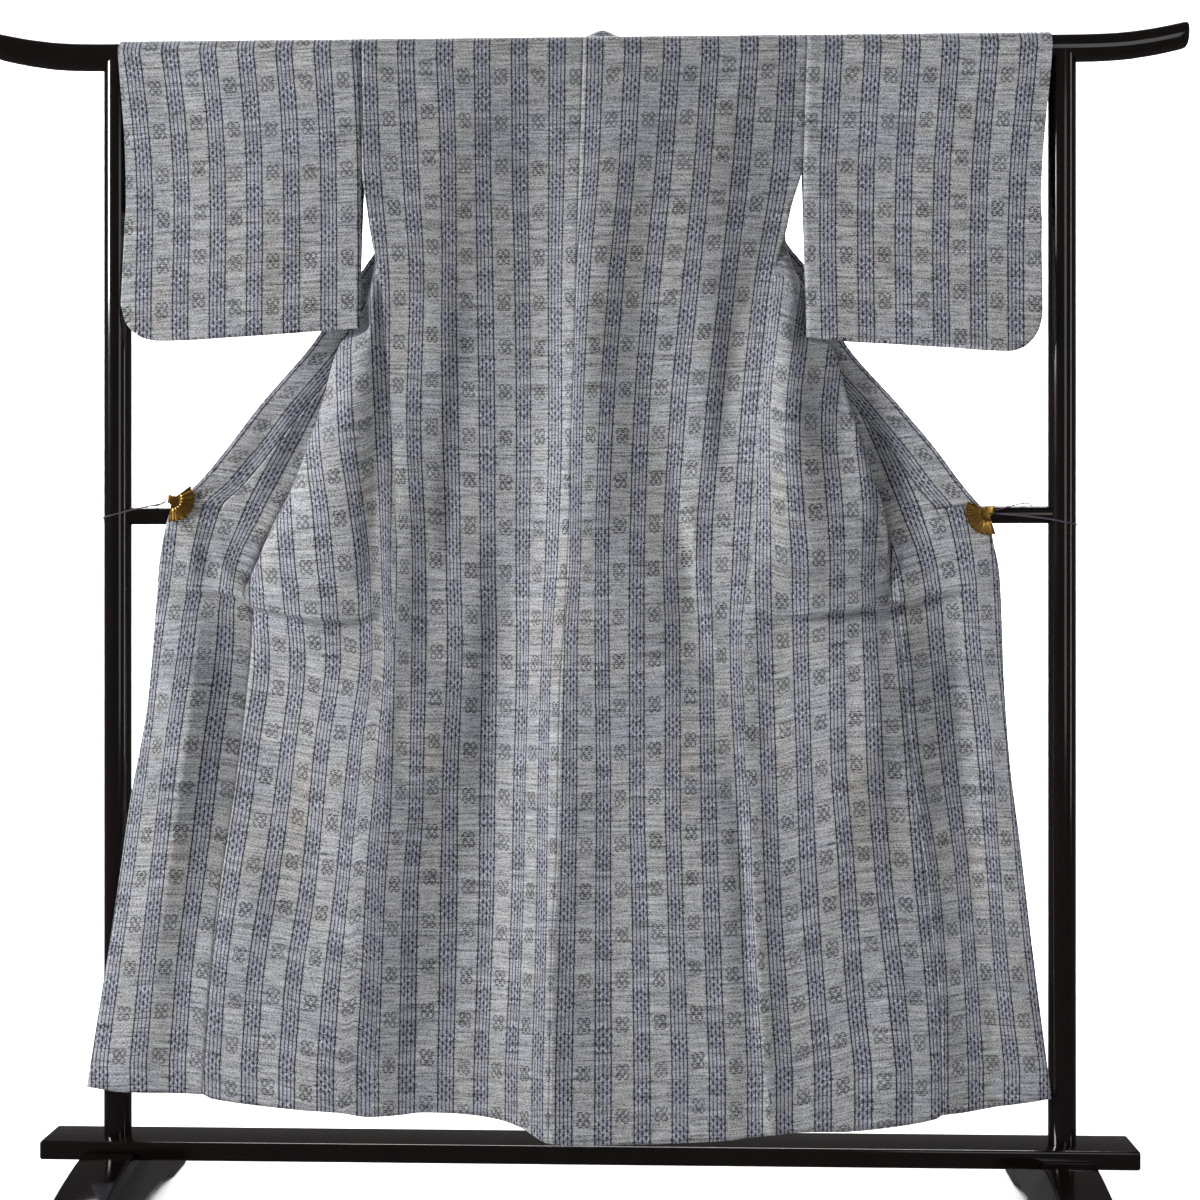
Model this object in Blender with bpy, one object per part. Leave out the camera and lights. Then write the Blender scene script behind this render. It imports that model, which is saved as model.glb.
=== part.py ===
"""Silk kimono hung by its back on a lacquered kimono stand.

Metres, +Z up. The back of the garment faces -Y, the stand is centred on X = 0, Y = 0
and its feet rest on Z = 0. Tables are in millimetres; in a table of the left half x
is counted to the left (-X), in a table of the right half to the right (+X).
"""
import math

import bmesh
import bpy
from mathutils import Vector

MM = 0.001

# ---- cloth ----
CLOTH = 0.0016            # wall of the sewn silk
COLLAR_WALL = 0.0020      # the collar is folded double
SEAM_GAP = 0.0004         # two pieces at a seam
BACK_COLUMNS = 16         # columns of one back half, side to centre
NECK_COLUMN = 11          # the neck opening starts here, counted from the side
GUSSET_COLUMNS = 4        # overlap panel between its seam and the collar line
BAND_COLUMNS = 3          # collar width, and overlap panel outside the collar line
FRONT_ANCHORS = ((0, 3, 6), (3, 4, 2), (4, 5, 1), (5, 6, 2))   # from station, to station, columns between
SKIRT_ROWS = 10           # hem to waist tuck
# Rows over the waist tuck, as shares of the way up to the top of the side seam.
WAIST_SHARES = (0.0, 0.014, 0.10, 0.18, 0.26, 0.35, 0.44, 0.53, 0.62, 0.71, 0.79, 0.865, 0.935, 1.0)
COLLAR_SHARE_ROW = 4      # the collar's lower end lies on this row over the tuck
SIDE_TOP = 1.353          # top of the side seam
ARMHOLE_FOOT = 1.497      # where body and sleeve part
TIP_ROW_Z = 1.40          # top of the overlap panel
TUCK_LIP = 0.005          # how far the waist tuck stands out over its crease

# ---- stand ----
RAIL_R = 0.020
RAIL_Z = 1.665
REST_GAP = 0.0004         # rail on the posts, posts on the bottom rail
OVER_RAIL = 0.0219        # the cloth's middle surface over the rail's centre line
POST_R = 0.0195
POST_X = 0.675
MID_RAIL_R = 0.0125
MID_RAIL_Z = 1.004
SILL = (1.552, 0.084, 0.027)     # bottom rail: length, depth, height
SILL_Z = 0.087            # its underside
SILL_BEVEL = 0.004
FOOT_WIDTH = 0.074
FOOT_NOTCH = 0.012        # the bottom rail is let into the feet this deep
FOOT_BEVEL = 0.003
ROUND = 24                # sides of the posts and rails

# ---- clips ----
FAN_R = 0.0325
FAN_HUB_R = 0.0125        # smooth middle of the fan
FAN_RIBS = 8
FAN_SPREAD = math.radians(136)
FAN_PLATE = 0.0020
FAN_RIB = 0.0012
CLIP_FRONT_Y = -0.0242    # back of the fan, in front of the cloth
CLIP_BACK_Y = -0.0172     # front of the jaw, behind the cloth
JAW = (0.026, 0.0016, 0.016)     # length, thickness, height
BAR = (0.0027, 0.0058, 0.0125)   # hinge bar: half width, half depth, height
CORD_R = 0.0010

# Top rail: x, rise of the centre line, radius factor.
RAIL_TABLE = (
    (0, 0.0, 1.0), (640, 0.0, 1.0), (700, 0.2, 1.0), (735, 1.0, 1.0), (770, 3.4, 1.0),
    (800, 7.6, 0.99), (826, 12.6, 0.98), (843, 16.4, 0.97), (848, 17.6, 0.92), (850, 18.1, 0.80),
)
# Foot seen from the side: y, z of the upper outline, centre to toe.
FOOT_TOP = ((42, 99), (90, 93), (150, 82), (200, 68), (236, 48), (250, 30), (253, 16), (250, 3))
# Foot: y, z of the underside, toe to centre.
FOOT_UNDER = ((246, 0), (172, 0), (163, 5), (152, 6.5), (148, 11), (120, 14), (60, 16))

# Centre back seam: z, x, y.
CENTRE = (
    (1665, -3, -21.9), (1600, -5, -22.4), (1520, -7.5, -26), (1377, -11.5, -32),
    (1250, -14, -38), (1094, -19.5, -44), (1023, -20.5, -48), (883, -26, -50),
    (743, -34.5, -52), (532, -38.5, -54), (392, -45.5, -55), (252, -48, -56), (110, -49.5, -58),
)
# Side seam: z, x and y of the back's edge, x and y of the front's edge.
SIDE_LEFT = (
    (1665, 318.5, -21.9, 318.5, 21.9), (1600, 318, -22, 317, 21), (1497, 318, -24, 313, 12),
    (1440, 311, -24, 308, 0), (1388, 303, -24, 302, -13), (1353, 295, -26, 295, -26),
    (1250, 285, -33, 285, -33), (1138, 274.5, -39, 274.5, -39), (1024, 268, -43, 268, -43),
    (883, 266.5, -46, 266.5, -46), (770, 272, -46, 272, -46), (686, 277.5, -46, 277.5, -46),
    (558, 289, -46, 289, -46), (432, 291.5, -47, 291.5, -47), (319, 294.5, -48, 294.5, -48),
    (110, 302.5, -50, 302.5, -50),
)
SIDE_RIGHT = (
    (1665, 313.5, -21.9, 313.5, 21.9), (1600, 311, -22, 310.5, 21), (1497, 307.5, -24, 301, 12),
    (1440, 292, -24, 290, 0), (1398, 282.5, -24, 279, -12), (1353, 268, -26, 268, -26),
    (1249, 254, -33, 254, -33), (1108, 246, -40, 246, -40), (1023, 238, -43, 238, -43),
    (939, 235, -45, 235, -45), (883, 225.5, -46, 225.5, -46), (659, 225, -46, 225, -46),
    (603, 232, -46, 232, -46), (435, 239, -47, 239, -47), (267, 250, -48, 250, -48),
    (110, 267, -50, 267, -50),
)
# Back: z, then x and y of the valley beside the side seam, crest, flat, dip beside the centre.
BACK_LEFT = (
    (1665, 265, -21.9, 200, -21.9, 135, -21.9, 60, -21.9),
    (1600, 266, -22, 201, -23, 135, -22, 61, -22), (1520, 268, -22, 203, -26, 135, -23, 62, -22),
    (1400, 272, -17, 206, -30, 136, -24, 64, -20), (1250, 262, -14, 205, -36, 138, -25, 68, -18),
    (1020, 243, -18, 196, -38, 132, -24, 74, -18.5), (880, 240, -18, 192, -40, 134, -24, 78, -18),
    (700, 246, -17, 196, -42, 140, -24, 84, -17), (500, 258, -17, 205, -42, 148, -24, 92, -17),
    (300, 262, -18, 208, -42, 152, -26, 98, -18), (110, 266, -24, 212, -42, 158, -30, 104, -24),
)
BACK_RIGHT = (
    (1665, 262, -21.9, 190, -21.9, 125, -21.9, 55, -21.9),
    (1600, 262, -22, 188, -22, 122, -23, 53, -22), (1520, 258, -23, 185, -23, 120, -25, 50, -22),
    (1400, 240, -22, 178, -22, 108, -28, 38, -19), (1250, 222, -16, 165, -23, 95, -30, 28, -18),
    (1020, 213, -16, 150, -24, 80, -36, 15, -18), (880, 200, -16, 140, -24, 72, -36, 10, -17),
    (700, 198, -16, 134, -24, 64, -36, 0, -17), (500, 206, -17, 138, -24, 64, -36, 0, -17),
    (300, 214, -18, 142, -26, 62, -38, -6, -18), (110, 232, -26, 150, -30, 66, -40, -6, -24),
)
# Front: z, then x and y of the near bulge, its crest, its rim, the fold behind it, the lap.
FRONT_LEFT = (
    (1665, 299, 21.9, 259, 21.9, 200.2, 21.9, 160.8, 21.9, 141.1, 21.9),
    (1632, 299, 21.5, 259, 22, 202, 23.5, 150, 25, 132, 26.5),
    (1600, 298, 21, 259, 22.5, 204, 25, 138, 27, 126, 31),
    (1574, 298, 20.5, 259, 23, 206, 26, 131, 29, 123, 35),
    (1548, 298, 20, 260, 23.5, 209, 26, 130, 31, 126, 38.5),
    (1523, 299, 19, 262, 24, 214, 26, 136, 32, 135, 41.5),
    (1497, 300, 17, 268, 23, 222, 26, 144, 33, 145, 43.5),
    (1460, 300, 12, 278, 19, 238, 25, 156, 33.5, 158, 44),
    (1400, 301, 1, 290, 11, 264, 19, 172, 33.5, 174, 44),
    (1353, 301, -19, 302, -10, 288, 4, 184, 29, 186, 40),
    (1312, 303, -34, 308, -22, 304, -8, 215, 15, 217, 26),
    (1275, 302, -38, 309, -20, 326, -6, 238, 5, 240, 16),
    (1245, 307, -48, 330, -36, 347, -20, 262, 0, 264, 11),
    (1160, 316, -72, 352, -50, 372, -30, 308, -5, 312, 6),
    (1100, 322, -76, 370, -52, 394, -30, 345, -11, 351, -2),
    (1045, 332, -75, 392, -50, 416, -32, 390, -18, 393, -10),
    (1020, 338, -73, 402, -48, 428, -33, 409, -22, 411, -17),
    (980, 345, -68, 418, -46, 448, -33, 440, -23.5, 443, -19),
    (930, 345, -60, 420, -44, 463, -31, 467, -23.5, 469, -20.5),
    (894, 335, -52, 415, -41, 458, -30, 475, -23, 479, -21.5),
    (860, 318, -42, 385, -41, 428, -32, 456, -23.5, 465, -21.5),
    (740, 306, -28, 366, -43, 402, -35, 446, -24.5, 464, -22.5),
    (600, 318, -28, 378, -44, 416, -36, 460, -24.5, 480, -23.5),
    (454, 326, -28, 388, -44, 428, -36, 474, -25, 497, -24),
    (313, 328, -30, 392, -44, 434, -38, 480, -27, 506, -25),
    (110, 338, -34, 402, -44, 442, -38, 486, -29, 513, -27),
)
FRONT_RIGHT = (
    (1665, 294, 21.9, 254, 21.9, 194.8, 21.9, 155.1, 21.9, 135.4, 21.9),
    (1632, 293, 21.5, 254, 22, 196, 23.5, 146, 25, 128, 26.5),
    (1600, 292, 21, 254, 22.5, 198, 25, 134, 27, 122, 31),
    (1574, 291, 20.5, 253, 23, 200, 26, 126, 29, 118, 35),
    (1548, 290, 20, 252, 23.5, 202, 26, 124, 31, 120, 38.5),
    (1523, 287, 19, 250, 24, 205, 26, 129, 32, 128, 41.5),
    (1497, 285, 16, 254, 22.5, 210, 26, 137, 33, 138, 43.5),
    (1460, 283, 10, 260, 18, 220, 25, 146, 33.5, 148, 44),
    (1400, 284, -4, 278, 9, 250, 18, 154, 33.5, 156, 44),
    (1353, 287, -27, 294, -15, 282, 2, 168, 29, 170, 40),
    (1312, 293, -38, 304, -23, 308, -9, 205, 15, 207, 26),
    (1262, 283, -42, 300, -26, 324, -4, 244, 4, 246, 14),
    (1250, 284, -46, 305, -31, 333, -14, 252, 1, 254, 12),
    (1232, 290, -54, 328, -44, 350, -24, 264, -1, 266, 10),
    (1160, 300, -62, 350, -53, 372, -30, 304, -6, 308, 5),
    (1100, 310, -64, 364, -52, 392, -31, 340, -11, 346, -2.5),
    (1045, 325, -64, 384, -50, 408, -33, 376, -18, 380, -10),
    (1020, 330, -64, 390, -49, 416, -34, 396, -22, 399, -17.5),
    (980, 335, -63, 392, -49, 420, -35, 420, -24, 424, -20.5),
    (945, 335, -60, 388, -48, 418, -35, 426, -24.5, 430, -22.5),
    (900, 322, -52, 378, -44, 410, -32, 427, -24, 432, -22.5),
    (868, 290, -40, 346, -41, 388, -32, 417, -24, 427, -22),
    (740, 258, -28, 318, -41, 356, -35, 400, -24.5, 420, -22.5),
    (600, 266, -28, 324, -42, 362, -36, 408, -25, 432, -23.5),
    (454, 272, -28, 334, -43, 374, -37, 420, -25.5, 446, -24),
    (300, 282, -30, 344, -44, 384, -38, 430, -27.5, 460, -25.5),
    (110, 300, -34, 358, -44, 398, -39, 440, -30, 468, -28),
)
# Edge: z, then x and y of the front's seam, the collar line, the free edge.
EDGE_LEFT = (
    (1665, 101.6, 21.9, 101.6, 21.9, 84, 80), (1632, 104, 30, 104, 30, 103, 88),
    (1600, 110, 37, 110, 37, 137, 90), (1574, 119, 40.5, 119, 40.5, 160, 84),
    (1548, 132, 43.5, 132, 43.5, 186, 74), (1523, 150, 45.5, 150, 45.5, 210, 60),
    (1497, 170, 46, 170, 46, 232, 50), (1460, 198, 46, 198, 46, 260, 38),
    (1425, 222, 46, 222, 46, 281, 30), (1388, 238, 43, 243, 43, 305, 23),
    (1353, 248, 40, 266, 37, 328, 18), (1312, 272, 28, 298, 24, 355, 12),
    (1250, 293, 16, 332, 12, 395, 6), (1160, 345, 8, 403, 4, 470, -4),
    (1100, 375, 0, 448, -4, 514, -11), (1045, 408, -9, 492, -14, 559, -18),
    (1020, 421, -16.5, 518, -18, 589, -20), (980, 451, -17.5, 535, -18, 602, -21),
    (930, 473, -19, 546, -17, 610, -21), (894, 485, -20, 549, -16, 613, -20),
    (860, 477, -20, 551, -14, 615.5, -20), (740, 488, -22, 560, -13, 626, -20),
    (600, 504, -23, 577, -14, 650, -22), (454, 523, -24, 596, -15, 671, -23),
    (313, 535.5, -25, 615, -17, 693, -23.5), (180, 544, -26, 630, -19, 714, -23.5),
    (110, 548, -26, 636, -19, 722, -23.5),
)
EDGE_RIGHT = (
    (1665, 95.9, 21.9, 95.9, 21.9, 78, 80), (1632, 100, 30, 100, 30, 99, 88),
    (1600, 106, 37, 106, 37, 132, 90), (1574, 114, 40.5, 114, 40.5, 154, 84),
    (1548, 126, 43.5, 126, 43.5, 178, 74), (1523, 142, 45.5, 142, 45.5, 201, 60),
    (1497, 161, 46, 161, 46, 222, 50), (1460, 189, 46, 189, 46, 249, 38),
    (1425, 212, 46, 212, 46, 270, 31), (1388, 226, 43, 231, 43, 293, 23),
    (1353, 238, 40, 258, 36, 320, 18), (1312, 252, 30, 278, 26, 340, 12),
    (1254, 268, 16, 304, 12, 366, 6), (1160, 326, 8, 382, 3, 444, -4),
    (1100, 360, 1, 430, -4, 493, -10), (1045, 390, -8, 468, -14, 532, -18),
    (1020, 406, -16.5, 488, -18, 553, -19.5), (1003, 415, -17, 500, -18.5, 569, -20),
    (967, 430, -22, 514, -19, 574.5, -21), (925, 436, -25, 520, -19, 583, -21),
    (879, 440, -21, 523, -16, 586, -20), (770, 448, -22, 525, -13, 590, -20),
    (657, 459, -23, 532, -12, 598, -20), (545, 473, -24, 543, -11, 612, -20),
    (432, 487, -25, 557, -11, 625, -20), (300, 499, -25, 570, -13, 641, -20),
    (161, 503, -26, 580, -18, 658.5, -22), (110, 505, -26, 584, -18, 664, -22),
)
# Hem and waist tuck: x over the whole width, z.
HEM = (
    (-722, 188), (-651, 181), (-545, 180), (-532, 174.5), (-491, 169), (-404, 163), (-346, 160),
    (-303, 154), (-263, 155.5), (-234, 158), (-177, 156), (-120, 149.5), (-91, 141.5),
    (-49.5, 121.5), (-7, 118), (78, 119), (190, 125), (302, 137), (356, 138), (443, 146.5),
    (493, 155.5), (502, 160.5), (528, 162), (584, 170.5), (664, 183),
)
TUCK = (
    (-620, 900), (-544, 897), (-489, 886), (-476, 874.5), (-404, 860), (-361, 856), (-317, 856),
    (-296, 866), (-266, 858), (0, 862), (243, 869), (267, 862), (288, 861), (344, 868),
    (401, 875), (444, 879), (486, 890), (521, 897), (590, 902),
)
# Collar round the neck, right half: x share of the neck, then y and z of three points
# from the sewn edge to the free edge.
NECK_BAND = (
    (0.0, 15, 1688, 33, 1674, 43, 1646), (0.2, 15, 1688, 34, 1674.5, 44, 1650),
    (0.4, 15, 1688, 35, 1677, 47, 1660), (0.6, 17, 1689, 37, 1682, 50, 1670),
    (0.8, 19, 1690, 39, 1687, 55, 1680), (1.0, 21, 1690, 42, 1690, 60, 1686),
)
COLLAR_BUMP = (23, 20, 13)       # x, half width, height of the collar's rise over the rail

# Sleeve: z, outer edge x, near layer y, far layer y, far layer's outer edge x.
SLEEVE_LEFT = (
    (1665, 669, -21.9, 21.9, 666), (1626, 665.5, -22.5, 21.2, 652), (1554, 659.5, -24, 17, 651.5),
    (1497, 657, -25, 11, 651.5), (1440, 656, -26.5, -6, 653), (1400, 656.5, -28, -14, 655.5),
    (1340, 657.5, -33, -24, 657), (1300, 658, -36, -29, 658), (1250, 658, -36, -30, 658),
)
SLEEVE_RIGHT = (
    (1665, 657.5, -21.9, 21.9, 655), (1626, 654.5, -22.5, 21.9, 651.5), (1571, 649, -24, 18, 648),
    (1487, 642, -26, 8, 641.5), (1430, 640, -27.5, -8, 640), (1374, 638.7, -29, -18, 638.7),
    (1300, 638.5, -35, -28, 638.5), (1240, 638.5, -35, -29, 638.5),
)
# Sleeve hem: x, z, inner to outer edge with the rounded corner.
SLEEVE_HEM_LEFT = (
    (318.5, 1272), (377, 1267.5), (463, 1261.5), (520, 1258), (575, 1255), (605, 1254.5),
    (624, 1257.5), (640, 1266), (652, 1281), (658, 1304),
)
SLEEVE_HEM_RIGHT = (
    (311, 1256), (373, 1249), (415, 1246.5), (513, 1240), (575, 1235.5), (595, 1235),
    (611, 1239), (625, 1250), (634, 1265), (638.5, 1284),
)
FURI_LEFT = ((1665, 318.5), (1497, 318.2), (1260, 318.6))       # sleeve's inner edge: z, x
FURI_RIGHT = ((1665, 313.5), (1560, 309.5), (1497, 307.5), (1450, 307.6), (1250, 311.5))
CUFF_FOOT = 1.44          # lower end of the cuff opening
SLEEVE_COLUMNS = 12
SLEEVE_ROWS = 8           # below the armhole

# Clip: hub x and z, direction of the fan in degrees, x and z of its hinge bar.
CLIP_LEFT = (-0.5895, 1.0265, -32.0, -0.5942, 1.0270)
CLIP_RIGHT = (0.5672, 1.0062, 220.0, 0.5730, 1.0098)


def start_clean():
    """Empties the file."""
    for item in list(bpy.data.objects):
        bpy.data.objects.remove(item, do_unlink=True)


def make_material(name, colour, roughness, metallic=0.0):
    """Makes a plain Principled material."""
    material = bpy.data.materials.new(name)
    material.use_nodes = True
    shader = material.node_tree.nodes["Principled BSDF"]
    shader.inputs["Base Color"].default_value = (*colour, 1.0)
    shader.inputs["Roughness"].default_value = roughness
    shader.inputs["Metallic"].default_value = metallic
    material.diffuse_color = (*colour, 1.0)
    return material


def add_mesh(name, points, faces, material):
    """Adds a mesh object and returns it."""
    mesh = bpy.data.meshes.new(name)
    mesh.from_pydata([tuple(point) for point in points], [], faces)
    solid = bmesh.new()
    solid.from_mesh(mesh)
    bmesh.ops.recalc_face_normals(solid, faces=solid.faces)
    solid.to_mesh(mesh)
    solid.free()
    item = bpy.data.objects.new(name, mesh)
    bpy.context.collection.objects.link(item)
    mesh.materials.append(material)
    return item


# ---- tables and curves ----

def slopes(table, column):
    """Slopes of a smooth curve through a table that never overshoots it."""
    steps = []
    for low, high in zip(table, table[1:]):
        steps.append((high[column] - low[column]) / (high[0] - low[0]))
    result = [steps[0]]
    for before, after in zip(steps, steps[1:]):
        if before * after <= 0:
            result.append(0.0)
        else:
            result.append(2 * before * after / (before + after))
    result.append(steps[-1])
    return result


SLOPE_CACHE = {}


def read(table, at, column=1):
    """Reads a column of a table at a place between its rows."""
    rows = SLOPE_CACHE.get((id(table), column))
    if rows is None:
        ordered = sorted(table, key=lambda row: row[0])
        rows = (ordered, slopes(ordered, column))
        SLOPE_CACHE[(id(table), column)] = rows
    ordered, slope = rows
    at = min(max(at, ordered[0][0]), ordered[-1][0])
    index = 0
    while index < len(ordered) - 2 and ordered[index + 1][0] < at:
        index += 1
    low, high = ordered[index], ordered[index + 1]
    span = high[0] - low[0]
    t = (at - low[0]) / span
    return (
        (2 * t ** 3 - 3 * t ** 2 + 1) * low[column] + (t ** 3 - 2 * t ** 2 + t) * span * slope[index]
        + (3 * t ** 2 - 2 * t ** 3) * high[column] + (t ** 3 - t ** 2) * span * slope[index + 1]
    )


def spread(stations, counts):
    """Draws a smooth curve through (x, y) stations and puts evenly spaced points on it.

    Each entry of counts is (first station, last station, steps between them).
    """
    ends = [2 * stations[0] - stations[1]] + stations + [2 * stations[-1] - stations[-2]]
    points = [stations[0]]
    for first, last, count in counts:
        dense = [stations[first]]
        for k in range(first + 1, last + 1):
            before, start, stop, after = ends[k - 1], ends[k], ends[k + 1], ends[k + 2]
            for step in range(1, 13):
                t = step / 12
                dense.append(
                    0.5 * (2 * start + (stop - before) * t
                           + (2 * before - 5 * start + 4 * stop - after) * t ** 2
                           + (3 * start - before - 3 * stop + after) * t ** 3)
                )
        lengths = [0.0]
        for low, high in zip(dense, dense[1:]):
            lengths.append(lengths[-1] + (high - low).length)
        index = 0
        for step in range(1, count + 1):
            wanted = lengths[-1] * step / count
            while index < len(dense) - 2 and lengths[index + 1] < wanted:
                index += 1
            span = lengths[index + 1] - lengths[index]
            share = (wanted - lengths[index]) / span if span > 0 else 0.0
            points.append(dense[index].lerp(dense[index + 1], min(max(share, 0.0), 1.0)))
    return points


def pairs(table, z, names):
    """The (x, y) stations of a table at one height."""
    return [Vector((read(table, z, 1 + 2 * k), read(table, z, 2 + 2 * k))) for k in range(names)]


class Half:
    """The tables of one half of the garment and the sections made from them."""

    def __init__(self, name, sign, side, back, front, edge):
        self.name = name
        self.sign = sign
        self.side = side
        self.back = back
        self.front = front
        self.edge = edge
        self.cache = {}

    def section(self, part, z):
        """The columns of one part at height z in mm, as signed x and y in mm."""
        key = (part, round(z, 1))
        if key in self.cache:
            return self.cache[key]
        side = pairs(self.side, z, 2)
        edge = pairs(self.edge, z, 3)
        if part == "back":
            centre = Vector((read(CENTRE, z, 1) * self.sign, read(CENTRE, z, 2)))
            points = spread([side[0]] + pairs(self.back, z, 4) + [centre], ((0, 5, BACK_COLUMNS),))
        elif part == "front":
            points = spread([side[1]] + pairs(self.front, z, 5) + [edge[0]], FRONT_ANCHORS)
        elif part == "gusset":
            middle = (edge[0] + edge[1]) / 2 + Vector((0, 3.0 * min(1.0, (1400 - z) / 300)))
            points = spread([edge[0], middle, edge[1]], ((0, 2, GUSSET_COLUMNS),))
        else:
            middle = (edge[1] + edge[2]) / 2 + Vector((0, -2.5 if z < 960 else -1.0))
            points = spread([edge[1], middle, edge[2]], ((0, 2, BAND_COLUMNS),))
        self.cache[key] = [Vector((point.x * self.sign, point.y)) for point in points]
        return self.cache[key]

    def point(self, part, column, z):
        """A point of the cloth's middle surface, in metres."""
        flat = self.section(part, z)[column]
        return Vector((flat.x * MM, flat.y * MM, z * MM))

    def row_point(self, part, column, row):
        """A point on a row. Row 0 is the hem, SKIRT_ROWS the waist tuck, then the side's top."""
        x = self.section(part, 500)[column].x if row < SKIRT_ROWS else self.section(part, 880)[column].x
        z = 0.0
        for _ in range(3):
            hem = read(HEM, x)
            tuck = read(TUCK, x)
            if row <= SKIRT_ROWS:
                z = hem + (tuck - hem) * row / SKIRT_ROWS
            else:
                z = tuck + (SIDE_TOP / MM - tuck) * WAIST_SHARES[row - SKIRT_ROWS]
            x = self.section(part, z)[column].x
        point = self.point(part, column, z)
        if part != "back" and row == SKIRT_ROWS + 1:
            point.y -= TUCK_LIP * tuck_share(part, column)
        return point


def tuck_share(part, column):
    """The tuck fades out where the front meets the back and toward the garment's edge."""
    if part == "front":
        return min(1.0, column / 3)
    if part == "gusset":
        return 1.0 - 0.45 * column / GUSSET_COLUMNS
    return 0.55 * (1 - column / BAND_COLUMNS)


class Cloth:
    """All the sewn pieces as one surface: points by key, faces by piece."""

    def __init__(self):
        self.points = {}
        self.faces = []
        self.seams = set()
        self.seam_ends = set()

    def put(self, key, point):
        """Stores a point once and returns its key."""
        if key not in self.points:
            self.points[key] = point
        return key

    def quad(self, piece, layer, keys):
        """Adds a place of the grid as triangles split on its shorter diagonal."""
        corners = []
        for key in keys:
            if key not in corners:
                corners.append(key)
        if len(corners) == 4:
            a, b, c, d = corners
            if (self.points[a] - self.points[c]).length <= (self.points[b] - self.points[d]).length:
                self.faces += [(piece, layer, [a, b, c]), (piece, layer, [a, c, d])]
            else:
                self.faces += [(piece, layer, [a, b, d]), (piece, layer, [b, c, d])]
        elif len(corners) == 3:
            self.faces.append((piece, layer, corners))

    def grid(self, piece, layer, keys, flip):
        """Adds the faces between rows of keys."""
        for low, high in zip(keys, keys[1:]):
            for k in range(min(len(low), len(high)) - 1):
                corners = [low[k], low[k + 1], high[k + 1], high[k]]
                self.quad(piece, layer, corners[::-1] if flip else corners)

    def normals(self):
        """Normals shared across the seams, longer where the cloth turns sharply."""
        total = {key: Vector() for key in self.points}
        weights = {key: 0.0 for key in self.points}
        for _, _, keys in self.faces:
            places = [self.points[key] for key in keys]
            normal = (places[1] - places[0]).cross(places[2] - places[0]).normalized()
            for k, key in enumerate(keys):
                corner = (places[k - 2] - places[k]).angle(places[k - 1] - places[k], 0.0)
                total[key] += normal * corner
                weights[key] += corner
        result = {}
        for key, normal in total.items():
            agreement = normal.length / weights[key]
            result[key] = normal.normalized() / min(max(agreement, 0.7), 1.0)
        return result

    def solid(self, piece, wall, material, normals):
        """Makes one piece's closed wall, parted from its neighbours at the seams."""
        index = {}
        keys_of = []
        loops = []
        for owner, layer, keys in self.faces:
            if owner != piece:
                continue
            loop = []
            for key in keys:
                own = (key, layer) if key in self.seams else key
                if own not in index:
                    index[own] = len(keys_of)
                    keys_of.append(key)
                loop.append(index[own])
            loops.append(loop)
        used = {(a, b) for loop in loops for a, b in zip(loop, loop[1:] + loop[:1])}
        rim = [(a, b) for a, b in used if (b, a) not in used]
        rim.sort()
        after = dict(rim)
        before = {b: a for a, b in rim}
        outer = []
        inner = []
        for k, key in enumerate(keys_of):
            place = self.points[key]
            normal = normals[key]
            if key in self.seams and k in after:
                along = self.points[keys_of[after[k]]] - self.points[keys_of[before[k]]]
                gap = SEAM_GAP * (2.2 if key in self.seam_ends else 0.6)
                place = place + normal.cross(along).normalized() * gap
            outer.append(place + normal * wall / 2)
            inner.append(place - normal * wall / 2)
        count = len(outer)
        faces = [tuple(loop) for loop in loops]
        faces += [tuple(count + k for k in reversed(loop)) for loop in loops]
        for a, b in rim:
            low = min((a, b), key=lambda k: tuple(self.points[keys_of[k]]))
            if low == a:
                faces += [(b, a, count + b), (a, count + a, count + b)]
            else:
                faces += [(b, a, count + a), (b, count + a, count + b)]
        return add_mesh(piece, outer + inner, faces, material)


def part_key(half, part, column, row):
    """The key of a grid point; parts share the keys of their common seams."""
    if part == "back" and column == BACK_COLUMNS:
        return ("centre", row)
    if part == "front" and column == 0 and row <= SIDE_ROW:
        return (half.name, "back", 0, row)
    if part == "gusset":
        if column == 0 or row >= TIP_ROW:
            return (half.name, "front", NECK_COLUMN, row)
        if column == GUSSET_COLUMNS:
            return (half.name, "line", 0, row)
    if part == "line" and column == 0 and row >= TIP_ROW:
        return (half.name, "front", NECK_COLUMN, row)
    return (half.name, part, column, row)


SIDE_ROW = SKIRT_ROWS + len(WAIST_SHARES) - 1
ABOVE = (1.400, 1.448, 1.497, 1.5235, 1.548, 1.574, 1.600, 1.6325)     # rows between the side's top and the rail
TIP_ROW = SIDE_ROW + 1
FOOT_ROW = SIDE_ROW + 3                                  # the armhole's foot
RAIL_ROW = SIDE_ROW + len(ABOVE) + 1                     # where the cloth meets the rail's side
ARC_STEPS = 6
COLLAR_ROW = SKIRT_ROWS + COLLAR_SHARE_ROW


def surface_point(half, part, column, row):
    """The point of a grid place, above and below the side seam's top."""
    if row <= SIDE_ROW:
        return half.row_point(part, column, row)
    z = RAIL_Z if row == RAIL_ROW else ABOVE[row - SIDE_ROW - 1]
    return half.point(part, column, z / MM)


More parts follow.
